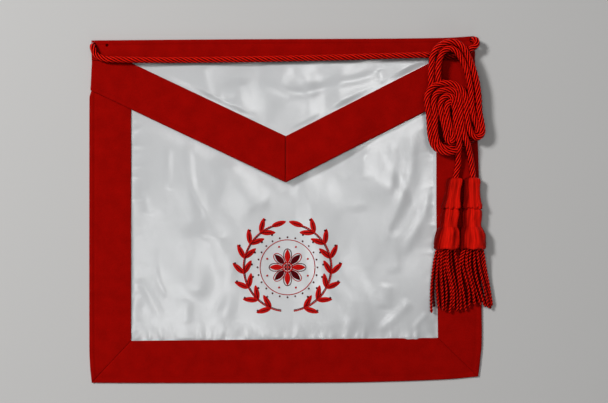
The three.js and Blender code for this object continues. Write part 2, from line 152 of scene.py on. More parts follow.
# A smooth curve through points, then even steps along it
def smoothCurve(points, perSpan=24):
    points = np.asarray(points, float)
    ends = np.vstack([2 * points[0] - points[1], points, 2 * points[-1] - points[-2]])
    pieces = []
    for a, b, c, d in zip(ends, ends[1:], ends[2:], ends[3:]):
        gaps = [max(np.linalg.norm(q - p) ** 0.5, 1e-6) for p, q in ((a, b), (b, c), (c, d))]
        knots = np.cumsum([0] + gaps)
        t = np.linspace(knots[1], knots[2], perSpan, endpoint=False)[:, None]

        def between(p, q, low, high):
            return (p * (high - t) + q * (t - low)) / (high - low)

        ab = between(a, b, knots[0], knots[1])
        bc = between(b, c, knots[1], knots[2])
        cd = between(c, d, knots[2], knots[3])
        abc = between(ab, bc, knots[0], knots[2])
        bcd = between(bc, cd, knots[1], knots[3])
        pieces.append(between(abc, bcd, knots[1], knots[2]))
    return np.vstack([*pieces, points[-1:]])


def distanceAlong(line):
    return np.concatenate([[0], np.cumsum(np.linalg.norm(np.diff(line, axis=0), axis=1))])


def lengthOf(line):
    return float(np.linalg.norm(np.diff(line, axis=0), axis=1).sum())


def evenSteps(line, step):
    gone = distanceAlong(line)
    count = max(int(round(gone[-1] / step)), 2)
    wanted = np.linspace(0, gone[-1], count + 1)
    return np.stack([np.interp(wanted, gone, line[:, i]) for i in range(line.shape[1])], 1)


# Faces of a grid of rows by columns, which may close round its columns
def gridFaces(rows, columns, closed=False):
    i, j = np.meshgrid(np.arange(rows - 1), np.arange(columns if closed else columns - 1), indexing="ij")
    k = (j + 1) % columns
    faces = np.stack([i * columns + j, i * columns + k, (i + 1) * columns + k, (i + 1) * columns + j], -1)
    return faces.reshape(-1, 4)


# Faces of a tube of rings: its side, and a cap at each end
def tubeFaces(rows, columns):
    ring = np.arange(columns)
    lastRing = ring[None, ::-1] + (rows - 1) * columns
    return [gridFaces(rows, columns, closed=True)[:, ::-1], ring[None, :], lastRing]


# The corners round a grid's edge in order, and the wall from them down to others
def edgeLoop(rows, columns):
    index = np.arange(rows * columns).reshape(rows, columns)
    return np.concatenate([index[0, :-1], index[:-1, -1], index[-1, :0:-1], index[:0:-1, 0]])


def wallFaces(loop, low):
    return np.stack([loop, low, np.roll(low, -1), np.roll(loop, -1)], 1)


# What the yarn materials read at each point: across the strand, metres along it, and its brightness, which
# carries painted highlight and shade
def yarnMarks(shape, across, along, bright):
    marks = np.zeros(shape)
    marks[..., 0] = across
    marks[..., 1] = along
    marks[..., 2] = bright
    return marks


# Gathers closed shapes into one mesh, each turned so that its faces point out
class MeshPile:
    def __init__(self):
        self.points, self.faces, self.marks, self.slots = [], [], [], []
        self.count = 0

    def add(self, points, faces, marks=None, slot=0):
        points = np.asarray(points, float).reshape(-1, 3)
        volume = 0.0
        middle = points.mean(0)
        for block in faces:
            corners = points[np.asarray(block)] - middle
            for j in range(1, corners.shape[1] - 1):
                volume += np.einsum("ij,ij->", corners[:, 0], np.cross(corners[:, j], corners[:, j + 1]))
        for block in faces:
            block = np.asarray(block) + self.count
            self.faces.extend((block if volume >= 0 else block[:, ::-1]).tolist())
            self.slots.extend([slot] * len(block))
        self.points.append(points)
        self.marks.append(np.zeros_like(points) if marks is None else np.asarray(marks, float).reshape(-1, 3))
        self.count += len(points)

    def piece(self, name, finishes, slotName, *replaced):
        mesh = bpy.data.meshes.new(name)
        mesh.from_pydata(np.vstack(self.points).tolist(), [], self.faces)
        mesh.polygons.foreach_set("use_smooth", [True] * len(self.faces))
        place = mesh.attributes.new("threadPlace", "FLOAT_VECTOR", "POINT")
        place.data.foreach_set("vector", np.vstack(self.marks).ravel())
        for finish in finishes:
            mesh.materials.append(finish)
        mesh.polygons.foreach_set("material_index", self.slots)
        mesh.update()
        made = putInScene(name, mesh)
        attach(made, "root")
        if replaced:
            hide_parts(*replaced)
        return made


# Rings of points swept along a line without adding any twist
def sweep(line, angles, radii, twist):
    tangents = np.gradient(line, axis=0)
    tangents /= np.linalg.norm(tangents, axis=1)[:, None]
    start = np.cross(tangents[0], [0.31, 0.17, 0.93])
    normal = start / np.linalg.norm(start)
    normals = []
    for tangent in tangents:
        normal = normal - tangent * np.dot(normal, tangent)
        normal = normal / np.linalg.norm(normal)
        normals.append(normal)
    normals = np.array(normals)
    sides = np.cross(tangents, normals)
    turn = angles[None, :] + twist[:, None]
    across = (radii * np.cos(turn))[..., None] * normals[:, None, :]
    up = (radii * np.sin(turn))[..., None] * sides[:, None, :]
    return line[:, None, :] + (across + up)


# A laid rope: its strands are ellipses in the cross-section that turn along the line
ropeDetail = {"longSwell": 2.3, "shortSwell": 0.7, "sharpest": 0.02, "crestFull": 0.96, "strandShift": 0.37}


def addRope(pile, line, cord, slot=0, phase=0.0, shade=1.0):
    strands, perStrand = cord["strands"], cord["perStrand"]
    radius, lay = cord["diameter"] / 2, cord["lay"]
    half = math.pi / strands
    centre = radius * cord["centreShare"]
    thick, wide = radius - centre, radius * cord["wideShare"]
    share = np.tile(np.sin(math.pi / 2 * np.linspace(-1, 1, perStrand, endpoint=False)), strands)
    angle = share * half
    a = np.cos(angle) ** 2 / thick ** 2 + np.sin(angle) ** 2 / wide ** 2
    b = -2 * centre * np.cos(angle) / thick ** 2
    c = centre ** 2 / thick ** 2 - 1
    profile = (-b + np.sqrt(np.maximum(b * b - 4 * a * c, 0))) / (2 * a)
    strand = np.repeat(np.arange(strands), perStrand)
    around = strand * 2 * half + angle
    profile = profile * (1 + cord["pairing"] * np.sin(strands / 2 * around))
    gone = np.linspace(0, lengthOf(line), len(line))
    longWave = np.sin(gone / (ropeDetail["longSwell"] * lay) + phase)
    swell = 1 + cord["uneven"] * longWave * np.sin(gone / (ropeDetail["shortSwell"] * lay))
    ends = np.minimum(gone, gone[-1] - gone) / (radius * cord["endRound"])
    blunt = np.sqrt(np.clip(1 - (1 - np.clip(ends, 0, 1)) ** 2, ropeDetail["sharpest"], 1))
    radii = profile[None, :] * (swell * blunt)[:, None]
    points = sweep(line, around, radii, 2 * math.pi * gone / lay + phase)
    # Painted shade: the mark is low in the grooves between strands and on the cord's lower side, down to under,
    # and shade lowers it further; the yarn material paints a low mark in its deep colour
    crest = np.clip((profile / radius - cord["dark"]) / (ropeDetail["crestFull"] - cord["dark"]), 0, 1)
    raised = (points[..., 2] - line[:, None, 2]) / radius
    lit = ease((raised - cord["litFrom"]) / (cord["litTo"] - cord["litFrom"]))
    lit = mix(cord["under"], 1, lit) * np.broadcast_to(shade, len(line))[:, None]
    across = (share * 0.5 + strand * ropeDetail["strandShift"])[None, :]
    marks = yarnMarks(points.shape, across, gone[:, None], crest[None, :] * lit)
    pile.add(points, tubeFaces(*points.shape[:2]), marks, slot)


# Materials: groups that several of them use, with a named input for each value
floatSocket = "NodeSocketFloat"
vectorSocket = "NodeSocketVector"
colourSocket = "NodeSocketColor"


def newGroup(name, inputs, outputs):
    group = bpy.data.node_groups.new(name, "ShaderNodeTree")
    for label, kind, value in inputs:
        socket = group.interface.new_socket(label, in_out="INPUT", socket_type=kind)
        if value is not None:
            socket.default_value = value
    for label, kind in outputs:
        group.interface.new_socket(label, in_out="OUTPUT", socket_type=kind)
    return group, group.nodes.new("NodeGroupInput").outputs, group.nodes.new("NodeGroupOutput").inputs


def addNode(tree, kind, inputs=None, **settings):
    node = tree.nodes.new(kind)
    for name, value in settings.items():
        setattr(node, name, value)
    for name, value in (inputs or {}).items():
        socket = node.inputs[name]
        if isinstance(value, bpy.types.NodeSocket):
            tree.links.new(value, socket)
        else:
            socket.default_value = value
    return node


def maths(tree, operation, first, second=0.0, third=0.0):
    node = addNode(tree, "ShaderNodeMath", {0: first, 1: second, 2: third}, operation=operation)
    return node.outputs[0]


def scaled(tree, colour, level):
    node = addNode(tree, "ShaderNodeVectorMath", {0: colour, "Scale": level}, operation="SCALE")
    return node.outputs[0]


def noise(tree, place, scale, detail):
    node = addNode(tree, "ShaderNodeTexNoise", {"Vector": place, "Scale": scale, "Detail": detail})
    return node.outputs["Fac"]


# Rounded threads across two directions: x of the place is across, y along, in metres
def makeWeaveGroup():
    inputs = [
        ("Place", vectorSocket, None), ("Rib Pitch", floatSocket, 0.0009),
        ("Warp Pitch", floatSocket, 0.0004), ("Warp Share", floatSocket, 0.4), ("Unevenness", floatSocket, 0.2),
    ]
    group, given, result = newGroup("weave", inputs, [("Height", floatSocket), ("Thread", floatSocket)])
    shift = maths(group, "MULTIPLY", noise(group, given["Place"], 160.0, 2.0), given["Unevenness"])
    parts = addNode(group, "ShaderNodeSeparateXYZ", {"Vector": given["Place"]}).outputs
    threads = []
    for axis, pitch, sway in (("Y", "Rib Pitch", 9.0), ("X", "Warp Pitch", 5.0)):
        count = maths(group, "DIVIDE", parts[axis], given[pitch])
        wave = maths(group, "MULTIPLY_ADD", count, math.pi, maths(group, "MULTIPLY", shift, sway))
        threads.append(maths(group, "ABSOLUTE", maths(group, "SINE", wave)))
    rib, warp = threads
    group.links.new(maths(group, "MULTIPLY_ADD", warp, given["Warp Share"], rib), result["Height"])
    group.links.new(maths(group, "MULTIPLY", rib, warp), result["Thread"])
    return group


# Slow patches and fine flecks that lift and lower a colour
def makeToneGroup():
    inputs = [
        ("Place", vectorSocket, None), ("Colour", colourSocket, (1, 1, 1, 1)),
        ("Patch Scale", floatSocket, 12.0), ("Patch Amount", floatSocket, 0.1),
        ("Fleck Scale", floatSocket, 900.0), ("Fleck Amount", floatSocket, 0.1),
    ]
    group, given, result = newGroup("tone", inputs, [("Colour", colourSocket), ("Patch", floatSocket)])
    changes = []
    for label, detail in (("Fleck", 2.0), ("Patch", 3.0)):
        cloud = noise(group, given["Place"], given[f"{label} Scale"], detail)
        centred = maths(group, "SUBTRACT", cloud, 0.5)
        changes.append(maths(group, "MULTIPLY", centred, given[f"{label} Amount"]))
    fine, slow = changes
    level = maths(group, "MULTIPLY_ADD", slow, 2.0, maths(group, "MULTIPLY", fine, 2.0))
    group.links.new(scaled(group, given["Colour"], maths(group, "ADD", level, 1.0)), result["Colour"])
    group.links.new(cloud, result["Patch"])
    return group


# Fibres that run along a twisted yarn, with painted shade, darker down between its strands and wherever the
# mark's brightness is low
fibreStreak = {"middle": 0.56, "gain": 1.7, "detail": 3.0}


def makeFibreGroup():
    inputs = [
        ("Place", vectorSocket, None), ("Bright", colourSocket, (1, 1, 1, 1)),
        ("Deep", colourSocket, (0, 0, 0, 1)), ("Fibres", floatSocket, 14.0),
        ("Length Scale", floatSocket, 260.0),
    ]
    group, given, result = newGroup("fibre", inputs, [("Colour", colourSocket), ("Height", floatSocket)])
    parts = addNode(group, "ShaderNodeSeparateXYZ", {"Vector": given["Place"]}).outputs
    across = maths(group, "MULTIPLY", parts["X"], given["Fibres"])
    along = maths(group, "MULTIPLY", parts["Y"], given["Length Scale"])
    stretched = addNode(group, "ShaderNodeCombineXYZ", {"X": across, "Y": along}).outputs[0]
    fibre = noise(group, stretched, 1.0, fibreStreak["detail"])
    centred = maths(group, "SUBTRACT", fibre, fibreStreak["middle"])
    streak = maths(group, "MULTIPLY_ADD", centred, fibreStreak["gain"], parts["Z"])
    mask = addNode(group, "ShaderNodeClamp", {"Value": streak}).outputs[0]
    ends = {"Factor": mask, "A": given["Deep"], "B": given["Bright"]}
    colour = addNode(group, "ShaderNodeMix", ends, data_type="RGBA").outputs["Result"]
    group.links.new(colour, result["Colour"])
    group.links.new(fibre, result["Height"])
    return group


weaveGroup = makeWeaveGroup()
toneGroup = makeToneGroup()
fibreGroup = makeFibreGroup()


def newMaterial(name, fixed):
    made = bpy.data.materials.new(name)
    made.use_nodes = True
    shader = made.node_tree.nodes["Principled BSDF"]
    for label, value in fixed.items():
        shader.inputs[label].default_value = value
    return made, made.node_tree, shader.inputs


def useGroups(tree, *uses):
    place = addNode(tree, "ShaderNodeAttribute", attribute_name="threadPlace").outputs["Vector"]
    return [
        addNode(tree, "ShaderNodeGroup", {"Place": place, **inputs}, node_tree=group).outputs
        for group, inputs in uses]


def addBump(tree, shader, height, strength, distance):
    bump = addNode(tree, "ShaderNodeBump", {"Height": height, "Strength": strength, "Distance": distance})
    tree.links.new(bump.outputs["Normal"], shader["Normal"])


# Cloths: thread pitches and bump distance in metres; roughness runs up from its least by its spread
satinFinish = {
    "fixed": {"Roughness": 0.31, "IOR": 2.1, "Specular IOR Level": 0.75},
    "weave": {"Rib Pitch": 0.00055, "Warp Pitch": 0.00028, "Warp Share": 0.5, "Unevenness": 0.3},
    "tone": {
        "Colour": (0.6, 0.61, 0.619, 1), "Patch Scale": 22.0, "Patch Amount": 0.04, "Fleck Scale": 1400.0,
        "Fleck Amount": 0.05},
    "leastRough": 0.29, "roughSpread": 0.04, "bump": 0.25, "bumpDistance": 0.00004, "threadShade": None,
}
ribbonFinish = {
    "fixed": {"Roughness": 0.7, "Specular IOR Level": 0.08, "Specular Tint": (1, 0.1, 0.05, 1)},
    "weave": {"Rib Pitch": 0.0011, "Warp Pitch": 0.0005, "Warp Share": 0.35, "Unevenness": 0.25},
    "tone": {
        "Colour": (0.345, 0.0028, 0.0015, 1), "Patch Scale": 75.0, "Patch Amount": 0.24, "Fleck Scale": 700.0,
        "Fleck Amount": 0.2},
    "leastRough": 0.63, "roughSpread": 0.15, "bump": 0.5, "bumpDistance": 0.00009, "threadShade": 0.75,
}


def makeCloth(name, finish):
    made, tree, shader = newMaterial(name, finish["fixed"])
    weave, tone = useGroups(tree, (weaveGroup, finish["weave"]), (toneGroup, finish["tone"]))
    colour, darkest = tone["Colour"], finish["threadShade"]
    if darkest:
        colour = scaled(tree, colour, maths(tree, "MULTIPLY_ADD", weave["Thread"], 1 - darkest, darkest))
    tree.links.new(colour, shader["Base Color"])
    rough = maths(tree, "MULTIPLY_ADD", tone["Patch"], finish["roughSpread"], finish["leastRough"])
    tree.links.new(rough, shader["Roughness"])
    addBump(tree, shader, weave["Height"], finish["bump"], finish["bumpDistance"])
    return made


# Yarns: colour on a strand's crest, and a deep colour for dark fibres and for the painted shade between strands
# and on shaded sides, fibres across a strand, and streaks per metre
yarns = {
    "ropeRed": {
        "bright": (0.98, 0.012, 0.0052, 1), "deep": (0.024, 0.0003, 0.0002, 1),
        "fibres": 12.0, "perMetre": 260.0, "roughness": 0.42, "gloss": 0.3},
    "fringeRed": {
        "bright": (1, 0.013, 0.0056, 1), "deep": (0.055, 0.0007, 0.0004, 1),
        "fibres": 12.0, "perMetre": 260.0, "roughness": 0.42, "gloss": 0.3},
    "tasselRed": {
        "bright": (0.89, 0.0108, 0.0045, 1), "deep": (0.12, 0.0014, 0.0008, 1),
        "fibres": 9.0, "perMetre": 45.0, "roughness": 0.5, "gloss": 0.25},
    "stitchRed": {
        "bright": (0.42, 0.006, 0.003, 1), "deep": (0.1, 0.0014, 0.0008, 1),
        "fibres": 8.0, "perMetre": 260.0, "roughness": 0.5, "gloss": 0.2},
    "threadRed": {
        "bright": (0.84, 0.013, 0.0105, 1), "deep": (0.28, 0.003, 0.003, 1),
        "fibres": 10.0, "perMetre": 260.0, "roughness": 0.42, "gloss": 0.4},
    "threadMaroon": {
        "bright": (0.11, 0.003, 0.007, 1), "deep": (0.03, 0.0015, 0.003, 1),
        "fibres": 10.0, "perMetre": 260.0, "roughness": 0.45, "gloss": 0.4},
}
yarnFinish = {"tint": (1, 0.05, 0.03, 1), "roughSpread": 0.3, "bump": 0.7, "bumpDistance": 0.0002}


def makeYarn(name, spec):
    made, tree, shader = newMaterial(name, {
        "Roughness": spec["roughness"], "Specular IOR Level": spec["gloss"],
        "Specular Tint": yarnFinish["tint"]})
    [fibre] = useGroups(tree, (fibreGroup, {
        "Bright": spec["bright"], "Deep": spec["deep"], "Fibres": spec["fibres"],
        "Length Scale": spec["perMetre"]}))
    tree.links.new(fibre["Colour"], shader["Base Color"])
    spread = yarnFinish["roughSpread"]
    rough = maths(tree, "MULTIPLY_ADD", fibre["Height"], spread, spec["roughness"] - spread / 2)
    tree.links.new(rough, shader["Roughness"])
    addBump(tree, shader, fibre["Height"], yarnFinish["bump"], yarnFinish["bumpDistance"])
    return made


satinWhite = makeCloth("satinWhite", satinFinish)
ribbonRed = makeCloth("ribbonRed", ribbonFinish)
yarn = {name: makeYarn(name, spec) for name, spec in yarns.items()}
say("materials")


# The two cords: how they are laid, with painted shade in their grooves and on their lower sides, and how the
# hank's layers lie and the lower ones are painted in shade
rope = {
    "diameter": 6.4 * mm, "strands": 6, "perStrand": 8, "centreShare": 0.67, "wideShare": 0.29, "lay": 32 * mm,
    "pairing": 0.03, "uneven": 0.02, "endRound": 0.6, "step": 0.85 * mm, "dark": 0.81, "under": 0.12,
    "litFrom": -0.15, "litTo": 0.5,
}
hank = {
    "y": 107 * mm, "z": 6.1 * mm, "slope": 0.031, "low": 3.2 * mm, "high": 8.8 * mm, "shadeBelow": 0.25,
    "shadeRise": 1.3, "left": 140 * mm, "foot": 56 * mm, "head": 162 * mm, "fadeSide": 8 * mm,
    "fadeHead": 5 * mm,
}

# Frame positions in millimetres, as in the solid model
cordLeftRun = [
    (-194.6, 166.4, 0.4), (-194.6, 166.4, 5.8), (-194.4, 165.4, 9.3), (-193.7, 162.4, 10.9),
    (-191.8, 157.8, 10.8), (-188.2, 154.6, 10.7), (-181.5, 152.4, 10.7), (-168.5, 151.8, 10.7),
    (-148, 151.5, 10.7), (-124, 151.3, 10.7), (-95, 151.4, 10.7), (-66, 151.7, 10.7),
    (-36, 152.1, 10.7), (-6, 152.6, 10.7), (25, 153.3, 10.7), (56, 154, 10.7),
    (96, 155.2, 10.7), (120, 155.9, 10.7), (144.6, 156.4, 10.7),
]
cordRightRun = [
    (190.2, 172.2, 0.4), (190.2, 172.2, 5.6), (190.6, 172.6, 8.9), (192.2, 171.5, 10.9),
    (192.9, 168.4, 11.2), (191.6, 165.2, 11.2), (188.2, 163.4, 11.2),
]
leadRight = [(188.6, 46.8, 6.9), (190, 33.6, 6.9), (190.2, 15, 8.6), (190.3, 1, 9)]
leadLeft = [(175, 46, 6.9), (172.6, 33.8, 6.9), (169.9, 15, 8.6), (168, 1, 9)]

# Turns in the hank: pixel x, pixel y, and layer, 0 on the cloth and 1 on top
hankTurnsLeftCord = [
    (448, 56.5, 0), (457, 56.5, 0), (463, 58.5, 0), (467, 66, 0), (470, 80, 0), (473, 100, 0), (473.5, 118, 0),
    (475.6, 130.2, 0.15), (478.3, 131.4, 0.75), (477.2, 125, 1), (473.2, 115, 1), (470, 85, 1), (466.6, 70, 1),
    (461, 58, 1), (456, 51, 1), (450, 48.4, 1), (444, 51, 1), (440, 58, 1), (438.4, 66, 1), (438.3, 80, 1),
    (439.6, 87, 0.3), (443.5, 92, 0), (452, 93.5, 0), (460, 99, 0), (462, 110, 0), (462, 125, 0),
    (460, 137, 0), (455, 145, 0.3), (449.5, 148.6, 0.8), (443.5, 147.6, 1), (437.6, 142.4, 1), (435.2, 132, 1),
    (435, 115, 1), (433.6, 102, 1), (436.5, 93.6, 1), (446.5, 89.6, 1), (456, 92, 1), (460, 101, 1),
    (460.7, 115, 1), (462, 126, 1), (464.7, 136, 1), (467.5, 143.5, 1), (469.6, 153, 0.35),
]
hankTurnsRightCord = [
    (467.5, 54.5, 0.15), (469, 61, 0), (472.5, 69, 0), (477, 85, 0), (479, 100, 0), (479, 120, 0),
    (474, 137, 0), (466, 144, 0), (459, 149, 0.3), (452.5, 152, 0.85), (446, 152.6, 1), (438.6, 150, 1),
    (433.8, 145.5, 1), (430.8, 137, 1), (429, 115, 1), (427, 97, 1), (432, 87.4, 1), (439.5, 83.6, 1),
    (447, 83, 1), (455.4, 85, 1), (462, 90.5, 1), (465.6, 99, 1), (466.8, 115, 1), (469, 127, 1),
    (472.6, 135.2, 1), (477.2, 137.6, 1), (481.7, 134.4, 1), (482.2, 127, 1), (479.6, 113, 1), (477.2, 85, 1),
    (473.4, 70, 1), (468, 56, 1), (462, 46.5, 1), (454, 42, 1), (446, 42.5, 1), (438, 47, 1),
    (432.8, 55, 1), (431.4, 65, 1), (431, 80, 1), (431.4, 92, 0.2), (431.4, 118, 0), (433, 134, 0),
    (439, 145, 0), (447.4, 143.4, 0), (452.8, 134, 0), (454.4, 121, 0), (454.4, 112.5, 0), (452.8, 106.4, 0.45),
    (450, 101.9, 0.95), (447.1, 105.5, 1), (447.3, 115, 1), (450.6, 129, 1), (453.1, 137.5, 1),
    (450.6, 142.6, 1), (447.2, 139, 1), (445.4, 129, 1), (441.6, 115, 1), (440.4, 103.6, 1),
    (443.2, 98, 1), (448.2, 95.6, 1), (453.4, 98.6, 1), (455.1, 106, 1), (455.3, 115, 1), (456.4, 126, 1),
    (458.6, 136, 1), (459.2, 144, 1), (458.3, 153.4, 0.35),
]


def hankBase(y):
    return hank["z"] + (y - hank["y"]) * hank["slope"]


def hankPoint(px, py, layer):
    return atPixel(px, py, hankBase(flatPixel(px, py)[1]) + mix(hank["low"], hank["high"], layer))


def cordLine(run, turns, lead):
    start, end = ([tuple(v * mm for v in point) for point in part] for part in (run, lead))
    points = [*start, *[hankPoint(*turn) for turn in turns], *end]
    return evenSteps(smoothCurve(points), rope["step"])


# The lower turns of the hank lie under the upper ones and are painted darker, as painted shade
def hankShade(line):
    x, y, z = line.T
    layer = (z - hankBase(y) - hank["low"]) / (hank["high"] - hank["low"])
    inside = ease((x - hank["left"]) / hank["fadeSide"]) * ease((y - hank["foot"]) / hank["fadeSide"])
    inside = inside * ease((hank["head"] - y) / hank["fadeHead"])
    return mix(1, mix(hank["shadeBelow"], 1, ease(layer * hank["shadeRise"])), inside)


def makeCord(name, line, *replaced):
    pile = MeshPile()
    addRope(pile, line, rope, shade=hankShade(line))
    return pile.piece(name, [yarn["ropeRed"]], "cord", *replaced)


leftCordLine = cordLine(cordLeftRun, hankTurnsLeftCord, leadRight)
rightCordLine = cordLine(cordRightRun, hankTurnsRightCord, leadLeft)
leftCord = makeCord("waistCordLeft", leftCordLine, "cord_left", "cord_hank", "tassel_lead_right")
rightCord = makeCord("waistCordRight", rightCordLine, "cord_right", "tassel_lead_left")
say(f"cords {lengthOf(leftCordLine):.3f} m and {lengthOf(rightCordLine):.3f} m")


# Tassels: a head covered in silky thread, in two tiers over a bell, and a skirt of twisted cords
# The head's bright, foldBright, lumpBright, threadBright and lit values paint highlight and shade into its
# colour
head = {
    "flatness": 0.62, "floor": 3.2 * mm, "sit": 1.02, "columns": 276, "rowStep": 0.6 * mm, "folds": 6,
    "foldDepth": 0.11, "wander": 0.8, "lumps": 0.03, "threads": 46, "threadDepth": 0.024, "bright": 0.74,
    "threadsPerMark": 6, "foldBright": 2.6, "lumpBright": 1.5, "threadBright": 4, "litTurn": 0.3,
    "litFrom": 0.25, "litSpan": 0.7, "leastHalf": 0.02 * mm, "foldEnds": 0.4, "foldRound": 0.6,
    "sideFolds": 0.25, "drift": 0.9,
}
# Unevenness of the head: cells in a half width, and millimetres of drop for each
headNoise = {
    "wander": {"across": 1.3, "down": 14, "seed": 91},
    "lumps": {"across": 2.4, "down": 5.5, "slant": 40, "seed": 92},
}
# Ridges and steps round the head: where each is, its half width, and its height
headRidges = {
    "neck": {"at": 1.6 * mm, "half": 0.9 * mm, "height": 0.025},
    "hem": {"at": 68.6 * mm, "half": 0.8 * mm, "height": -0.035},
    "tierEdge": {"at": 30 * mm, "half": 2.5 * mm, "height": 0.8 * mm},
    "bellEdge": {"at": 71 * mm, "half": 2 * mm, "height": 0.7 * mm},
}
# Tiers: where each starts and how long it is in millimetres, the turn of its folds and their share
headTiers = {
    "start": (0.0, 31.2, 50.0), "length": (31.2, 19.0, 22.0), "turn": (0.0, 1.3, 2.9),
    "fold": (1.0, 0.95, 0.7),
}
# The head's outline: drop from its top, and half width, in millimetres
headProfile = [
    (0.4, 0.0), (0.0, 3.0), (0.5, 6.0), (2.0, 7.5), (5, 7.9), (11, 7.6), (18, 7.8), (24, 8.6), (28.5, 9.7),
    (30.4, 9.9), (31.2, 9.2), (31.5, 8.0), (32.3, 8.2), (34, 8.8), (38, 9.0), (43, 8.6), (47, 8.5),
    (49.6, 8.9), (51.4, 9.8), (53.6, 10.8), (57, 11.6), (61.4, 12.0), (65, 12.2), (68, 12.4), (70.2, 12.4),
    (71.6, 12.0), (72.2, 11.3), (71.8, 10), (71.2, 7.0), (71.0, 3.0), (71.0, 0.0),
]
# Skirt cords: dark, under and lit values paint shade into their grooves and lower sides
skirtCord = {
    "diameter": 3.25 * mm, "strands": 2, "perStrand": 8, "centreShare": 0.48, "wideShare": 0.52,
    "lay": 7.0 * mm, "pairing": 0.0, "uneven": 0.04, "endRound": 1.1, "step": 0.7 * mm, "dark": 0.4,
    "under": 0.08, "litFrom": 0.05, "litTo": 0.6,
}
skirt = {
    "start": 64 * mm, "hem": 70 * mm, "spreadTop": 8.8 * mm, "rise": 1.68 * mm, "sway": 3.0 * mm,
    "swayCell": 0.75, "stray": 0.5 * mm, "stagger": 1.2 * mm, "aside": 0.03, "ragged": 6.5, "outerHeld": 0.75,
    "secondSway": 0.7, "points": 9, "fall": 2.6 * mm, "fallWidth": 6 * mm, "evenBy": 1.3, "lifted": 1.2,
    "landed": 2.2,
}
# How a cord drifts to the right on its way down, in millimetres
skirtDrift = [(0, 0), (0.22, -1.2), (0.45, 0.2), (0.75, 3.0), (1, 3.2)]
# The lowest layer's shade paints its cords nearly black, as painted shade under the layers above
skirtLayers = [
    {"cords": 7, "level": 0.0, "spread": 0.88, "shorter": 2.5, "shade": 0.04},
    {"cords": 8, "level": 2.3, "spread": 1.0, "shorter": 0.0, "shade": 1.0},
    {"cords": 2, "level": 5.0, "spread": 0.4, "shorter": 2.0, "shade": 1.0},
]
tassels = {
    "Left": {
        "top": (172.1, 32.9), "length": 137.8, "spreadEnd": 15.2, "flare": 2.2, "node": "tassel_left",
        "fallAfter": None, "phase": 0.4,
        "lean": [(0, 0), (30, -4.4), (62, -8.9), (72, -9.8), (138, -10.2)],
    },
    "Right": {
        "top": (189.9, 33.1), "length": 136, "spreadEnd": 13.7, "flare": 4.0, "node": "tassel_right",
        "fallAfter": 200 * mm, "phase": 2.1,
        "lean": [(0, -0.8), (30, -0.8), (48, -1.1), (72, -0.6), (92, -0.5), (138, 6.0)],
    },
}


def ridge(name, drop):
    spec = headRidges[name]
    return spec["height"] * hump(drop, spec["at"], spec["half"])


def addHead(pile, tassel, lean):
    phase = tassel["phase"]
    curve = evenSteps(smoothCurve(headProfile, 12) * mm, head["rowStep"])
    drop, half = curve[:, 0], np.maximum(curve[:, 1], head["leastHalf"])
    starts = np.array(headTiers["start"]) * mm
    which = np.searchsorted(starts[1:], drop, side="right")
    inTier = (drop - starts[which]) / (np.array(headTiers["length"])[which] * mm)
    folding = head["foldDepth"] * np.array(headTiers["fold"])[which]
    swell = np.sin(math.pi * np.clip(inTier, 0, 1)) ** head["foldRound"]
    folding = folding * mix(head["foldEnds"], 1, swell)
    tier = np.array(headTiers["turn"])[which][:, None]
    turn = np.linspace(0, 2 * math.pi, head["columns"], endpoint=False)[None, :]
    row = (drop / mm)[:, None]
    cos, sin = np.cos(turn), np.sin(turn)
    cell = headNoise["wander"]
    wander = softNoise(
        cell["across"] * cos + row / cell["down"], cell["across"] * sin + 4 * tier + phase, cell["seed"])
    bend = head["drift"] * np.sin(2 * turn + phase) + head["wander"] * wander
    wave = np.cos(head["folds"] * turn + tier + phase + bend)
    byTurn = 1 - head["sideFolds"] + head["sideFolds"] * np.sin(2 * turn + phase)
    folds = folding[:, None] * (1 - 2 * (0.5 - 0.5 * wave) ** 2.0) * byTurn
    cell = headNoise["lumps"]
    lumps = head["lumps"] * softNoise(
        cell["across"] * cos + row / cell["down"],
        cell["across"] * sin + row / cell["slant"] + 9 * phase, cell["seed"])
    threads = head["threadDepth"] * np.abs(np.cos(head["threads"] * turn / 2 + tier + 1.5 * wander))
    rings = ridge("neck", drop) + ridge("hem", drop)
    scallops = np.cos(7 * turn + phase) + 0.8 * np.cos(11 * turn + 2 * phase)
    tierEdge = ridge("tierEdge", drop)[:, None] * scallops
    bellEdge = ridge("bellEdge", drop)[:, None] * np.cos(5 * turn + 2 * phase)
    radius = half[:, None] * (1 + folds + lumps + threads + rings[:, None])
    x = tassel["top"][0] * mm + lean(drop)[:, None] + radius * cos
    y = (tassel["top"][1] * mm - drop)[:, None] - tierEdge - bellEdge
    z = head["floor"] + (radius * sin + half[:, None] * head["sit"]) * head["flatness"]
    points = np.stack([x, y, z], -1)
    # Painted highlight and shade: fold and lump crests and thread ridges are painted lighter and their hollows
    # darker, and lit paints the side away from litTurn in shade
    bright = head["bright"] + folds * head["foldBright"] + lumps * head["lumpBright"]
    bright = bright + head["threadBright"] * (threads - head["threadDepth"] * 0.6)
    lit = ease((np.sin(turn + head["litTurn"]) - head["litFrom"]) / head["litSpan"])
    across = turn * head["threads"] / (2 * math.pi) / head["threadsPerMark"]
    marks = yarnMarks(points.shape, across, drop[:, None], np.clip(bright, 0, 1) * lit)
    pile.add(points, tubeFaces(*points.shape[:2]), marks)


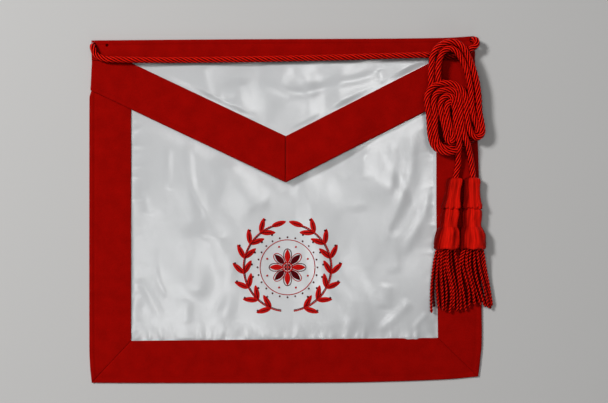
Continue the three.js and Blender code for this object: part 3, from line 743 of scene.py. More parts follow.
def addSkirt(pile, tassel, lean):
    topX, topY = (v * mm for v in tassel["top"])
    length = tassel["length"] * mm
    seed = 60 + int(topX / mm)
    drift = throughRows(skirtDrift)
    for layer in skirtLayers:
        level = head["floor"] + skirtCord["diameter"] / 2 + layer["level"] * mm
        for i in range(layer["cords"]):
            share = layer["spread"] * (2 * i / (layer["cords"] - 1) - 1)
            share = share + dice.uniform(-skirt["aside"], skirt["aside"])
            end = length - layer["shorter"] * mm - dice.uniform(0, skirt["ragged"]) * mm
            sway = [
                skirt["sway"] * float(softNoise(share / skirt["swayCell"] + 3, 7.0 * k, seed))
                + dice.uniform(-1, 1) * skirt["stray"] for k in range(3)]
            free = 1 - skirt["outerHeld"] * share ** 2
            line = []
            for t in np.linspace(0, 1, skirt["points"]):
                drop = mix(skirt["start"], end, t)
                past = np.clip((drop - skirt["hem"]) / (length - skirt["hem"]), 0, 1)
                spread = mix(skirt["spreadTop"], tassel["spreadEnd"] * mm, 1 - (1 - past) ** tassel["flare"])
                bow = sway[0] * math.sin(math.pi * t) + sway[2] * t
                bow = bow + sway[1] * math.sin(2 * math.pi * t) * skirt["secondSway"]
                x = topX + lean(drop) + share * spread + (bow + float(drift(t)) * mm) * free
                z = level + skirt["stagger"] * (i % 2) * (1 - ease(t * skirt["evenBy"]))
                z = mix(z + skirt["rise"] * skirt["lifted"], z, ease(t * skirt["landed"]))
                if tassel["fallAfter"] is not None:
                    over = ease((x - tassel["fallAfter"]) / skirt["fallWidth"])
                    z = mix(z, max(z - skirt["fall"], skirtCord["diameter"] / 2), over)
                line.append((float(x), topY - drop, float(z)))
            steps = evenSteps(smoothCurve(line), skirtCord["step"])
            addRope(pile, steps, skirtCord, phase=dice.uniform(0, 6), shade=layer["shade"])


def makeTassel(side):
    tassel = tassels[side]
    lean = throughRows([(drop * mm, x * mm) for drop, x in tassel["lean"]])
    made = []
    for part, build, finish in (("Head", addHead, "tasselRed"), ("Skirt", addSkirt, "fringeRed")):
        pile = MeshPile()
        build(pile, tassel, lean)
        made.append(pile.piece(f"tassel{part}{side}", [yarn[finish]], "cord", tassel["node"]))
    return made


leftTassel = makeTassel("Left")
rightTassel = makeTassel("Right")
say("tassels")


# The apron's outline in millimetres, as in the solid model
leftSide = throughRows([
    (-176.4, -197.5), (-160, -199.2), (-137, -200), (81, -200), (110, -199.9), (116, -199.7), (121, -198.1),
    (126, -197.7), (150, -196.4), (172, -195.2)])
rightSide = throughRows([
    (-169.8, 196.5), (-153, 198.5), (-137, 200), (-107, 200), (-30, 198.6), (72, 196), (122, 194),
    (176.4, 191)])
topSide = throughRows([(-196.5, 172), (-79, 173), (19, 173.5), (117, 174), (165, 174.8), (191, 176.4)])
bottomSide = throughRows([
    (-197.5, -176.2), (-140, -176.4), (45, -176), (108, -174.9), (165, -172.6), (196.5, -169.8)])
levels = {
    "panel": 1.5, "border": 1.8, "ribbon": 1.1, "flap": 3.2, "flapCloth": 1.2, "flapRibbon": 4.7, "band": 6.1,
    "inset": 1.8, "rim": 1.2,
}
ribbonWidth = 42
bandWidth = 21
bandLine = {"y": 153.4, "slope": 0.01, "left": -195, "right": 190}
field = {
    "left": -157.3, "right": 153.7, "bottomLeft": -133.4, "bottomRight": -130.3, "flare": 1.7, "flareFrom": 130,
}
flap = {
    "apexX": 0.4, "apexY": 27.8, "leftSlope": 0.473, "rightSlope": 0.509, "rise": 47.3, "cornerY": 124,
    "clothLeft": -186, "clothRight": 181, "mitreGap": 0.16, "liftDepth": 50,
}
# How far the flap's point and right-hand edge stand off the panel: x, then height
flapLift = throughRows([
    (-190, 0), (-150, 0), (-84, 1.4), (-40, 3.2), (0, 5.4), (40, 6.0), (66, 5.2), (84, 1.9), (96, 0.2),
    (112, 1.3), (130, 0.3), (145, 0), (190, 0)])


def innerLeft(y):
    return field["left"] + 0 * y


def innerRight(y):
    return field["right"] + field["flare"] * np.clip(-np.asarray(y, float) / field["flareFrom"], 0, 1)


def innerTop(x):
    return topSide(x) - levels["inset"]


def flapEdge(x):
    slope = np.where(x < flap["apexX"], -flap["leftSlope"], flap["rightSlope"])
    return flap["apexY"] + slope * (x - flap["apexX"])


def bandEdge(x):
    return bandLine["y"] + bandLine["slope"] * x


def flapRise(x, y):
    return np.maximum(flapLift(x), 0) * (1 - ease((y - flapEdge(x)) / flap["liftDepth"]))


# Loose cloth: long soft waves that run down it, with smaller ones over them, in millimetres
drape = {
    "wide": 25, "tall": 60, "height": 2.2, "turn": 14, "turnAcross": 60, "turnDown": 50, "slant": 0.28,
    "smallHeight": 0.26, "smallWide": 2.3, "smallTall": 2.6, "fineHeight": 0.03, "fineWide": 4.2,
    "fineTall": 5.5,
}


def drapeHeight(x, y, seed):
    cos, sin = math.cos(drape["slant"]), math.sin(drape["slant"])
    across, far = drape["turnAcross"], drape["turnDown"]
    turned = x * cos + y * sin + drape["turn"] * softNoise(x / across, y / across, seed + 1)
    down = y * cos - x * sin + drape["turn"] * softNoise(x / far, y / far, seed + 2)
    wide, tall = drape["wide"], drape["tall"]
    waves = drape["height"] * softNoise(turned / wide, down / tall, seed)
    leanX, leanY = turned * cos - down * sin, down * cos + turned * sin
    small = softNoise(leanX / wide * drape["smallWide"], leanY / tall * drape["smallTall"], seed + 3)
    fine = softNoise(x / drape["fineWide"], y / drape["fineTall"], seed + 4)
    return waves + drape["smallHeight"] * small + drape["fineHeight"] * fine


# Folds of the satin: half width in pixels, height in millimetres, and pixels along the crest
fieldFolds = [
    (4.5, 0.55, [(187, 134), (189, 160), (193, 190), (201, 207), (208, 219)]),
    (3.6, 0.38, [(168, 146), (168, 170), (169, 192)]),
    (15, 1.1, [(231, 150), (238, 184), (260, 206), (278, 212)]),
    (14, 1.1, [(192, 220), (198, 248), (197, 276), (189, 302)]),
    (2.6, -0.3, [(154, 264), (158, 282), (167, 299)]),
    (8, 0.62, [(226, 254), (231, 285), (227, 308), (216, 324)]),
    (5, 0.3, [(187, 297), (187, 326)]),
    (3, 0.3, [(250, 238), (247, 252), (255, 269)]),
    (3, 0.28, [(241, 268), (247, 277), (253, 288)]),
    (5, 0.3, [(237, 284), (247, 302)]),
    (11, 0.5, [(354, 170), (357, 214)]),
    (5, 0.28, [(364, 148), (364, 182)]),
    (6, 0.35, [(391, 138), (393, 165), (389, 198)]),
    (5.5, 0.45, [(408, 122), (412, 146), (410, 170), (404, 192), (394, 215), (386, 236), (386, 262)]),
    (6, -0.22, [(427, 160), (420, 187), (408, 210), (397, 232)]),
    (5, 0.42, [(432, 178), (430, 198), (422, 218), (410, 240), (402, 258)]),
    (7, 0.42, [(393, 228), (395, 276)]),
    (7, 0.32, [(386, 282), (384, 310)]),
    (5, 0.42, [(377, 334), (394, 318), (412, 299)]),
    (3, 0.25, [(412, 330), (428, 312)]),
    (2.6, 0.12, [(308, 262), (340, 266), (374, 268)]),
    (2.4, 0.1, [(314, 272), (352, 277)]),
    (3, 0.14, [(196, 233), (214, 238), (229, 237)]),
    (4.4, 0.34, [(133, 275), (146, 291), (164, 323)]),
    (3, 0.25, [(133, 260), (150, 270)]),
    (7, 0.4, [(133, 190), (146, 196), (150, 216)]),
]
flapFolds = [
    (5, 0.5, [(250, 77), (280, 90), (300, 94), (332, 85), (370, 76), (387, 63)]),
    (9, -0.5, [(282, 74), (310, 80), (342, 74)]),
    (5, 0.42, [(203, 64), (206, 84), (211, 99)]),
    (11, 0.55, [(236, 78), (241, 98), (254, 120)]),
    (4.5, -0.35, [(221, 98), (238, 100)]),
    (4, -0.3, [(379, 69), (385, 85)]),
]
foldShape = {"gain": 1.7, "fade": 0.22, "perSpan": 6}


def foldHeight(folds, x, y):
    total = 0 * x
    for pixels, height, path in folds:
        plan = [[v / mm for v in flatPixel(*pixel)] + [0] for pixel in path]
        crest = smoothCurve(plan, foldShape["perSpan"])[:, :2]
        half = pixels * camera["pixelSize"] / mm
        gone = distanceAlong(crest)
        nearest = np.full(x.shape, np.inf)
        share = np.zeros(x.shape)
        for k in range(len(crest) - 1):
            a, span = crest[k], crest[k + 1] - crest[k]
            t = np.clip(((x - a[0]) * span[0] + (y - a[1]) * span[1]) / (span @ span), 0, 1)
            away = np.hypot(x - a[0] - t * span[0], y - a[1] - t * span[1])
            closer = away < nearest
            nearest = np.where(closer, away, nearest)
            share = np.where(closer, mix(gone[k], gone[k + 1], t) / gone[-1], share)
        fade = ease(share / foldShape["fade"]) * ease((1 - share) / foldShape["fade"])
        total = total + height * fade * hump(nearest, 0, half)
    return total * foldShape["gain"]


# Short gathers that run into the satin from each seam
gathers = {
    "counts": {"bottom": 36, "left": 26, "right": 24}, "reach": 10, "half": 2.5, "height": 0.75,
    "sideShare": 0.6, "top": 130, "start": 2.5, "slant": 0.35, "places": (0.15, 0.85), "reaches": (0.45, 1.15),
    "halves": (0.7, 1.5), "heights": (0.3, 1.0), "signs": (-0.6, 1, 1),
}


def gatherHeight(x, y):
    total = 0 * x
    pick = random.Random(5)
    for edge, count in gathers["counts"].items():
        for i in range(count):
            share = (i + pick.uniform(*gathers["places"])) / count
            reach = gathers["reach"] * pick.uniform(*gathers["reaches"])
            half = gathers["half"] * pick.uniform(*gathers["halves"])
            height = gathers["height"] * pick.uniform(*gathers["heights"]) * pick.choice(gathers["signs"])
            slant = pick.uniform(-gathers["slant"], gathers["slant"])
            if edge == "bottom":
                inward = y - field["bottomLeft"]
                across = x - mix(field["left"], field["right"], share) - slant * inward
            else:
                inward = x - field["left"] if edge == "left" else innerRight(y) - x
                across = y - mix(field["bottomLeft"], gathers["top"], share) - slant * inward
                height = height * gathers["sideShare"]
            shape = ease(inward / gathers["start"]) * hump(inward, 0, reach)
            total = total + height * shape * hump(across, 0, half)
    return total * foldShape["gain"]


# The satin's crown and folds; they calm down round the embroidery and under the flap, in millimetres
embroidery = {
    "x": 2, "y": -58.5, "reach": 64.0, "clear": 60, "fade": 14, "foldShare": 0.4, "drapeShare": 0.75,
}
satinCrown = {
    "height": 0.8, "width": 22, "flapShare": 0.4, "flapReach": 16, "hiddenFrom": 6, "hiddenBy": 12,
    "foldsFrom": 12, "edge": 3,
}
flapCrown = {"height": 0.35, "fromRibbon": 8, "fromBand": 6}
satinWall = {"least": 0.5, "bend": 0.25}
satinSeeds = {"field": 21, "flap": 33}


# Keeps the cloth's top above its underside
def overWall(height):
    least, bend = satinWall["least"], satinWall["bend"]
    return least + bend * np.logaddexp(0, (height - least) / bend)


def satinTop(x, y):
    seam = np.minimum(np.minimum(x - field["left"], innerRight(y) - x), y - field["bottomLeft"])
    fromCentre = np.hypot(x - embroidery["x"], y - embroidery["y"])
    calm = ease((fromCentre - embroidery["clear"]) / embroidery["fade"])
    shown = 1 - ease((y - flapEdge(x) - satinCrown["hiddenFrom"]) / satinCrown["hiddenBy"])
    folds = foldHeight(fieldFolds, x, y) * mix(embroidery["foldShare"], 1, calm)
    folds = folds * ease(seam / satinCrown["foldsFrom"])
    folds = folds + gatherHeight(x, y)
    folds = folds + drapeHeight(x, y, satinSeeds["field"]) * mix(embroidery["drapeShare"], 1, calm)
    crown = satinCrown["height"] * ease(seam / satinCrown["width"])
    folds = folds * mix(satinCrown["flapShare"], 1, ease((flapEdge(x) - y) / satinCrown["flapReach"]))
    return overWall(levels["panel"] + crown + folds * shown * ease(seam / satinCrown["edge"]))


def flapClothTop(x, y):
    fromRibbon = ease((y - flapEdge(x) - flap["rise"]) / flapCrown["fromRibbon"])
    fromBand = ease((bandEdge(x) - y) / flapCrown["fromBand"])
    folds = foldHeight(flapFolds, x, y) + drapeHeight(x, y, satinSeeds["flap"])
    raised = levels["flapCloth"] + fromRibbon * fromBand * folds
    raised = raised + flapCrown["height"] * fromRibbon * fromBand
    return levels["flap"] + flapRise(x, y) + overWall(raised)


def spread(*stops):
    return np.unique(np.concatenate([np.linspace(*stop) for stop in stops]))


# A closed cloth: a fine top over an underside that is flat or follows it
def addSlab(pile, x, y, top, under):
    rows, columns = x.shape
    upper = np.stack([x, y, top], -1).reshape(-1, 3) * mm
    loop = edgeLoop(rows, columns)
    if np.ndim(under) == 0:
        lower = upper[loop] * [1, 1, 0] + [0, 0, under * mm]
        low = np.arange(len(loop)) + rows * columns
        base = low[None, :]
    else:
        lower = np.stack([x, y, under], -1).reshape(-1, 3) * mm
        low = loop + rows * columns
        base = gridFaces(rows, columns)[:, ::-1] + rows * columns
    pile.add(np.vstack([upper, lower]), [gridFaces(rows, columns), wallFaces(loop, low), base])


# Grids of the two satins in millimetres: fine where they show, coarse under the ribbons
fieldGrid = {
    "reachX": 198.2, "low": -174.2, "high": 170, "shownTop": 132, "underLeft": 4, "underRight": 5,
    "underLow": 4, "columns": 212, "rows": 180,
}
flapGrid = {"left": -142, "right": 150, "columns": 190, "rows": 63, "underBand": 3, "underRibbon": 4}


def makeField():
    grid = fieldGrid
    left, right = field["left"] - grid["underLeft"], field["right"] + grid["underRight"]
    reach, low, top = grid["reachX"], field["bottomLeft"] - grid["underLow"], grid["shownTop"]
    columns = spread((-reach, left, 5), (left, right, grid["columns"]), (right, reach, 5))
    rows = spread((grid["low"], low, 4), (low, top, grid["rows"]), (top, grid["high"], 5))
    x, y = np.meshgrid(columns, rows)
    leftEnd, rightEnd = leftSide(y) + levels["inset"], rightSide(y) - levels["inset"]
    x = np.where(x < left, mix(leftEnd, left, (x + reach) / (left + reach)), x)
    x = np.where(x > right, mix(right, rightEnd, (x - right) / (reach - right)), x)
    foot = bottomSide(x) + levels["inset"]
    y = np.where(y < low, mix(foot, low, (y - grid["low"]) / (low - grid["low"])), y)
    pile = MeshPile()
    addSlab(pile, x, y, satinTop(x, y), 0.0)
    return pile.piece("satinField", [satinWhite], "satin", "body_panel")


def makeFlapCloth():
    grid = flapGrid
    along = spread(
        (flap["clothLeft"], grid["left"], 6), (grid["left"], grid["right"], grid["columns"]),
        (grid["right"], flap["clothRight"], 6))
    low = flapEdge(along) + levels["inset"] / math.cos(math.atan(flap["rightSlope"]))
    high = innerTop(along)
    lastShown = np.minimum(bandEdge(along) + grid["underBand"], high - 1)
    firstShown = np.minimum(flapEdge(along) + flap["rise"] - grid["underRibbon"], lastShown - 2)
    firstShown = np.maximum(firstShown, low + 0.5)
    parts = [
        (low, firstShown, 4, False), (firstShown, lastShown, grid["rows"], False), (lastShown, high, 4, True)]
    y = np.vstack([mix(a, b, np.linspace(0, 1, n, endpoint=last)[:, None]) for a, b, n, last in parts])
    x = np.tile(along, (len(y), 1))
    pile = MeshPile()
    addSlab(pile, x, y, flapClothTop(x, y), levels["flap"] + flapRise(x, y))
    return pile.piece("flapSatin", [satinWhite], "satin", "flap_panel")


satinField = makeField()
say("satin field")
flapSatin = makeFlapCloth()
say("flap satin")


# Ribbons: across runs from the outer edge to the inner one, along from 0 to 1, in millimetres
ribbonHem = {
    "width": 4.4, "height": 0.3, "step": 0.8, "stepBack": 0.5, "stitch": 4.8, "groove": 0.3, "grooveHalf": 0.7,
    "innerStitch": 1.3, "innerGroove": 0.12, "innerHalf": 0.6, "crown": 0.25, "crownRound": 0.5,
    "endDip": 0.2, "endReach": 0.9, "endFrom": 1.5, "wavesFrom": 2, "rowLength": 1.7,
}
ribbonWaves = [(0.16, 55, 0), (0.05, 14, 3)]
# Rolled edges: distance from the edge, then drop from the ribbon's top
outerRoll = [(0, -0.95), (0.1, -0.6), (0.35, -0.3), (0.8, -0.08), (1.4, 0)]
innerRoll = [(0.8, 0), (0.35, -0.05), (0.08, -0.18), (0, -0.45)]
# Columns of a strip's grid: steps over the hem and the flat, and shares of the width underneath
stripColumns = {
    "hem": (1.4, 4.2, 0.5), "flatFrom": 4.6, "flatTo": 1.8, "flatStep": 1.9, "under": (1, 0.66, 0.33),
}


def ribbonTop(across, x, y, width, seed):
    hem = ribbonHem
    inside = np.clip((across - hem["stitch"]) / (width - hem["stitch"]), 0, 1)
    past = (across - hem["width"] + hem["stepBack"]) / hem["step"]
    total = hem["height"] * ease(across / hem["step"]) * (1 - ease(past))
    total = total + hem["crown"] * np.sin(math.pi * inside) ** hem["crownRound"]
    total = total - hem["groove"] * hump(across, hem["stitch"], hem["grooveHalf"])
    total = total - hem["innerGroove"] * hump(width - across, hem["innerStitch"], hem["innerHalf"])
    waves = sum(height * ripple(x, y, size, seed + shift) for height, size, shift in ribbonWaves)
    return total + ease(across / hem["wavesFrom"]) * ease((width - across) / hem["wavesFrom"]) * waves


def noLift(x, y):
    return 0 * x


# Where each point lies on the cloth's own threads, which a cut wipes out
def layThreads(mesh, turn):
    points = np.zeros(len(mesh.vertices) * 3)
    mesh.vertices.foreach_get("co", points)
    x, y = points.reshape(-1, 3).T[:2]
    cos, sin = math.cos(turn), math.sin(turn)
    place = np.stack([y * cos - x * sin, x * cos + y * sin, 0 * x], 1)
    mesh.attributes["threadPlace"].data.foreach_set("vector", place.ravel())


def makeStrip(name, spec):
    width, level, foot = spec["width"], spec["level"], spec["foot"]
    top = level + levels["ribbon"]
    at, drops = zip(*outerRoll, *[(width - inFrom, drop) for inFrom, drop in innerRoll])
    hem, flatFrom = stripColumns["hem"], stripColumns["flatFrom"]
    flat = np.linspace(flatFrom, width - stripColumns["flatTo"], int(width / stripColumns["flatStep"]))
    upper = np.concatenate([at[:4], np.arange(*hem), flat, [width - ribbonHem["innerStitch"]], at[5:]])
    section = [(0, foot, 0), (0, mix(foot, top + drops[0], 0.5), 0)]
    section += [(a, top + drop, 1) for a, drop in zip(upper, np.interp(upper, at, drops))]
    section += [(width * share, level, 0) for share in stripColumns["under"]]
    section += [(levels["rim"], level, 0), (levels["rim"], foot, 0)]
    across, base, isTop = np.array(section).T[:, None, :]
    along = np.linspace(0, 1, spec["rows"])[:, None]
    x, y = spec["place"](across + 0 * along, along + 0 * across)
    length = spec["rows"] * ribbonHem["rowLength"]
    ends = sum(np.exp(-far * length / ribbonHem["endReach"]) for far in (along, 1 - along))
    dip = ribbonHem["endDip"] * ends * ease(across / ribbonHem["endFrom"])
    raised = ribbonTop(across, x, y, width, spec["seed"]) - dip
    raised = raised + spec.get("dent", noLift)(x, y)
    z = base + spec.get("lift", noLift)(x, y) + isTop * raised
    points = np.stack([x, y, z], -1) * mm
    pile = MeshPile()
    pile.add(points, tubeFaces(*points.shape[:2]))
    made = pile.piece(name, [ribbonRed], "ribbon", spec["node"])
    layThreads(made.data, spec["turn"])
    return made


# Where each ribbon runs: between an outer and an inner edge, up a side or across, clipped to the top
def upEdge(side, low, high):
    def edge(t):
        y = mix(low, high, t)
        return side(y), y
    return edge


def acrossEdge(side, left, right):
    def edge(t):
        x = mix(left, right, t)
        return x, side(x)
    return edge


def betweenEdges(outer, inner, width=ribbonWidth):
    def place(across, along):
        x0, y0 = outer(along)
        x1, y1 = inner(along)
        return mix(x0, x1, across / width), mix(y0, y1, across / width)
    return place


def clippedToTop(place):
    def clipped(across, along):
        x, y = place(across, along)
        return x, np.minimum(y, innerTop(x))
    return clipped


# The outline's corners: x at each end of the top and the foot, and y of each side's lower end
corners = {
    "topLeft": -196.5, "topRight": 191, "footLeft": -197.5, "footRight": 196.5, "leftLow": -176.3,
    "rightLow": -169.9, "highest": 176.4,
}


def leftBorderPlace():
    outer = upEdge(leftSide, corners["leftLow"], innerTop(corners["topLeft"]))
    inner = upEdge(innerLeft, field["bottomLeft"], innerTop(field["left"]))
    return clippedToTop(betweenEdges(outer, inner))


def rightBorderPlace():
    highest = corners["highest"] - levels["inset"]
    outer = upEdge(rightSide, corners["rightLow"], highest)
    inner = upEdge(innerRight, field["bottomRight"], highest)
    return clippedToTop(betweenEdges(outer, inner))


def bottomBorderPlace():
    right = innerRight(field["bottomRight"])

    def innerBottom(x):
        return mix(field["bottomLeft"], field["bottomRight"], (x - field["left"]) / (right - field["left"]))

    outer = acrossEdge(bottomSide, corners["footLeft"], corners["footRight"])
    return betweenEdges(outer, acrossEdge(innerBottom, field["left"], right))


def flapRibbonPlace(side):
    end = leftSide if side < 0 else rightSide
    slope = -flap["leftSlope"] if side < 0 else flap["rightSlope"]
    mitre = flap["apexX"] + side * flap["mitreGap"] / 2
    corner = flapEdge(end(flap["cornerY"]))

    def place(across, along):
        rise = flap["rise"] * across / ribbonWidth
        x = mix(mitre, end(corner + rise), along)
        return x, flap["apexY"] + slope * (x - flap["apexX"]) + rise

    return clippedToTop(place)


def bandPlace():
    outer = acrossEdge(topSide, corners["topLeft"], corners["topRight"])
    left, right = (
        float(side(bandEdge(x))) for side, x in ((leftSide, bandLine["left"]), (rightSide, bandLine["right"])))
    return betweenEdges(outer, acrossEdge(bandEdge, left, right), bandWidth)


eyelet = {
    "x": -180.7, "y": 166.9, "radius": 1.4, "puckers": 5, "puckerHeight": 0.3, "puckerAt": 3.6,
    "puckerHalf": 2.2, "dent": 0.35, "dentHalf": 2.4,
}


def eyeletDent(x, y):
    away = np.hypot(x - eyelet["x"], y - eyelet["y"])
    turn = np.arctan2(y - eyelet["y"], x - eyelet["x"])
    ring = hump(away, eyelet["puckerAt"], eyelet["puckerHalf"])
    puckers = eyelet["puckerHeight"] * ring * np.cos(eyelet["puckers"] * turn)
    return puckers - eyelet["dent"] * hump(away, 0, eyelet["dentHalf"])


border = {"width": ribbonWidth, "level": levels["border"], "foot": 0.0}
flapRibbon = {
    "width": ribbonWidth, "level": levels["flapRibbon"], "foot": levels["flap"], "rows": 130,
    "lift": flapRise,
}
strips = {
    "borderLeft": {
        **border, "node": "border_left", "rows": 190, "place": leftBorderPlace(), "turn": math.pi / 2,
        "seed": 1.0},
    "borderRight": {
        **border, "node": "border_right", "rows": 190, "place": rightBorderPlace(), "turn": math.pi / 2,
        "seed": 2.2},
    "borderBottom": {
        **border, "node": "border_bottom", "rows": 220, "place": bottomBorderPlace(), "turn": 0.0,
        "seed": 3.1},
    "flapRibbonLeft": {
        **flapRibbon, "node": "flap_ribbon_left", "place": flapRibbonPlace(-1), "seed": 4.3,
        "turn": -math.atan(flap["leftSlope"])},
    "flapRibbonRight": {
        **flapRibbon, "node": "flap_ribbon_right", "place": flapRibbonPlace(1), "seed": 5.4,
        "turn": math.atan(flap["rightSlope"])},
    "topBand": {
        **border, "node": "top_band", "width": bandWidth, "level": levels["band"], "rows": 230,
        "place": bandPlace(), "turn": 0.0, "seed": 6.2, "dent": eyeletDent},
}
ribbons = {name: makeStrip(name, spec) for name, spec in strips.items()}
say("ribbons")


# Holes in millimetres where the cords come through at the top corners, and the eyelet
leftHole = (-194.6, 166.4, 3.5)
rightHole = (190.2, 172.2, 3.5)
pinHole = (eyelet["x"], eyelet["y"], eyelet["radius"])
hiddenHole = (eyelet["x"], eyelet["y"], 2 * eyelet["radius"])
cutter = {"sides": 28, "depth": 60}


def cutHoles(piece, turn, holes):
    for x, y, radius in holes:
        bpy.ops.mesh.primitive_cylinder_add(
            vertices=cutter["sides"], radius=radius * mm, depth=cutter["depth"] * mm,
            location=(x * mm, y * mm, 0))
        tool = bpy.context.object
        cut = piece.modifiers.new("hole", "BOOLEAN")
        cut.operation = "DIFFERENCE"
        cut.solver = "EXACT"
        cut.object = tool
        bpy.context.view_layer.objects.active = piece
        bpy.ops.object.modifier_apply(modifier=cut.name)
        bpy.data.objects.remove(tool, do_unlink=True)
    layThreads(piece.data, turn)


cutHoles(satinField, 0, [leftHole, rightHole])
cutHoles(flapSatin, 0, [hiddenHole])
for name, holes in {
    "borderLeft": [leftHole], "borderRight": [rightHole], "flapRibbonLeft": [leftHole, pinHole],
    "flapRibbonRight": [rightHole], "topBand": [leftHole, rightHole, pinHole],
}.items():
    cutHoles(ribbons[name], strips[name]["turn"], holes)
say("holes")


# Sewing: one small spindle of thread for each stitch, sunk into the ribbon, in millimetres
stitch = {
    "pitch": 2.7, "length": 1.9, "radius": 0.24, "sides": 5, "start": 0.15, "aside": 0.05, "above": 0.06,
    "bright": 0.7, "linePoints": 90,
}
# A spindle's rings: share of its length, share of its radius, and how far up they lie
spindle = [(0.0, 0.35, -0.16), (0.22, 1, 0.0), (0.78, 1, 0.0), (1.0, 0.35, -0.16)]
# Runs of stitches: ribbon, distance in from its outer edge, and where each run starts and stops
outerSeam, innerSeam = ribbonHem["stitch"], ribbonWidth - ribbonHem["innerStitch"]
stitchRuns = [
    ("borderLeft", outerSeam, 0.02, 0.84), ("borderRight", outerSeam, 0.02, 0.84),
    ("borderBottom", outerSeam, 0.02, 0.98), ("borderLeft", innerSeam, 0.01, 0.82),
    ("borderRight", innerSeam, 0.01, 0.82), ("borderBottom", innerSeam, 0.01, 0.99),
    ("flapRibbonLeft", outerSeam, 0.02, 0.98), ("flapRibbonRight", outerSeam, 0.02, 0.98),
    ("flapRibbonLeft", innerSeam, 0.01, 0.72), ("flapRibbonRight", innerSeam, 0.01, 0.74),
    ("topBand", outerSeam, 0.05, 0.98),
]


def addStitches(pile, line, seed):
    pick = random.Random(seed)
    steps = evenSteps(line, stitch["pitch"])
    sides = stitch["sides"]
    for a, b in zip(steps, steps[1:]):
        way = (b - a) / np.linalg.norm(b - a)
        side = np.cross(way, [0, 0, 1])
        up = np.cross(side, way)
        points, marks = [], []
        for t, fat, sink in spindle:
            middle = a + way * (stitch["pitch"] * stitch["start"] + stitch["length"] * t) + up * sink
            middle = middle + side * pick.uniform(-stitch["aside"], stitch["aside"])
            for k in range(sides):
                turn = 2 * math.pi * k / sides
                points.append(middle + stitch["radius"] * fat * (side * math.cos(turn) + up * math.sin(turn)))
                marks.append((k / sides, t * stitch["length"] * mm, stitch["bright"]))
        pile.add(np.array(points) * mm, tubeFaces(len(spindle), sides), marks)


def stitchLine(name, inFrom, start, stop):
    spec = strips[name]
    along = np.linspace(start, stop, stitch["linePoints"])
    across = np.full(along.shape, inFrom)
    x, y = spec["place"](across, along)
    level = spec["level"] + levels["ribbon"] + spec.get("lift", noLift)(x, y)
    return np.stack([x, y, level + ribbonTop(across, x, y, spec["width"], spec["seed"]) + stitch["above"]], 1)


def makeStitches():
    pile = MeshPile()
    for seed, run in enumerate(stitchRuns):
        addStitches(pile, stitchLine(*run), seed)
    return pile.piece("ribbonStitches", [yarn["stitchRed"]], "ribbon")


makeStitches()
say("stitches")


# Embroidery: two leafy sprays round an eight-petalled rosette, in millimetres and degrees
spray = {
    "radius": 45, "from": -82, "to": 72, "bareStem": 14, "leafPairs": 7, "leafLength": 15.5, "leafWidth": 5.6,
    "splay": 38, "stemPoints": 30, "stemGap": 1.2, "besideAbove": 0.28, "tipBack": 3, "vein": (2.4, 5, 8, 11),
    "veinAbove": 0.85, "knotReach": 8.5, "knotAfter": 12.5, "knotSize": 0.9,
}
rosette = {
    "radius": 19, "petals": 8, "petalWidth": 8.2, "petalFull": 0.72, "petalBlunt": 0.75, "petalFoot": 0.6,
    "rimPoints": 13, "rimLong": 0.53, "rimWide": 1.05, "rimFoot": 0.8, "rimTip": 0.25, "hub": 5.2,
    "hubRing": 0.4, "knots": 9, "knotRing": 2.6, "knotTurn": 45, "knotSize": 1.1, "tip": 3.4,
    "tipSize": 0.9, "ring": 28, "dots": 30.6, "dotSize": 0.75,
}
# Leaf stitches: bright, threadBright and veinDark paint highlight on thread ridges and shade in the vein's
# groove
leafStitch = {
    "across": 11, "along": 40, "dome": 0.55, "threadPitch": 0.8, "threadDepth": 0.13, "slant": 1.1,
    "vein": 0.16, "veinWidth": 0.13, "above": 0.02, "wall": 0.25, "bright": 0.55, "threadBright": 3.2,
    "veinDark": 2.2, "footWide": 1.15, "narrowing": 0.3, "leastHalf": 0.02, "leastDome": 0.1,
    "threadSway": 0.15, "swayTurn": 9, "reliefTo": 1.05, "evenThread": 0.06, "threadShare": 0.5,
}
# Threads: dark, under and lit values paint shade into their grooves and lower sides, as for the cords
stemThread = {
    "diameter": 1.5 * mm, "strands": 2, "perStrand": 6, "centreShare": 0.46, "wideShare": 0.66,
    "lay": 4.4 * mm, "pairing": 0.0, "uneven": 0.05, "endRound": 1.0, "step": 0.5 * mm, "dark": 0.4,
    "under": 0.7, "litFrom": -0.15, "litTo": 0.5,
}
outlineThread = {**stemThread, "diameter": 1.0 * mm, "lay": 3.2 * mm}
knotThread = {**outlineThread, "diameter": 0.8 * mm, "step": 0.3 * mm}
knot = {"points": 15, "turn": 0.9, "closing": 0.055, "lift": 0.3, "climb": 0.05}
threads = [yarn["threadRed"], yarn["threadMaroon"]]
red, maroon = 0, 1


# The satin's height near the embroidery, read off a grid of it
def makeSurface():
    reach = embroidery["reach"]
    lowX, lowY = embroidery["x"] - reach, embroidery["y"] - reach
    steps = np.arange(int(2 * reach) + 1, dtype=float)
    heights = satinTop(*np.meshgrid(lowX + steps, lowY + steps))

    def read(x, y):
        u, v = (
            np.clip(np.asarray(at, float) - low, 0, 2 * reach - 0.001) for at, low in ((x, lowX), (y, lowY)))
        i, j = u.astype(int), v.astype(int)
        low = mix(heights[j, i], heights[j, i + 1], u - i)
        high = mix(heights[j + 1, i], heights[j + 1, i + 1], u - i)
        return mix(low, high, v - j)

    return read


clothLevel = makeSurface()


# A point that lies along and aside from a foot, turned with the shape
def turnedPoint(foot, turn, along, aside):
    cos, sin = math.cos(turn), math.sin(turn)
    return foot[0] + along * cos - aside * sin, foot[1] + along * sin + aside * cos


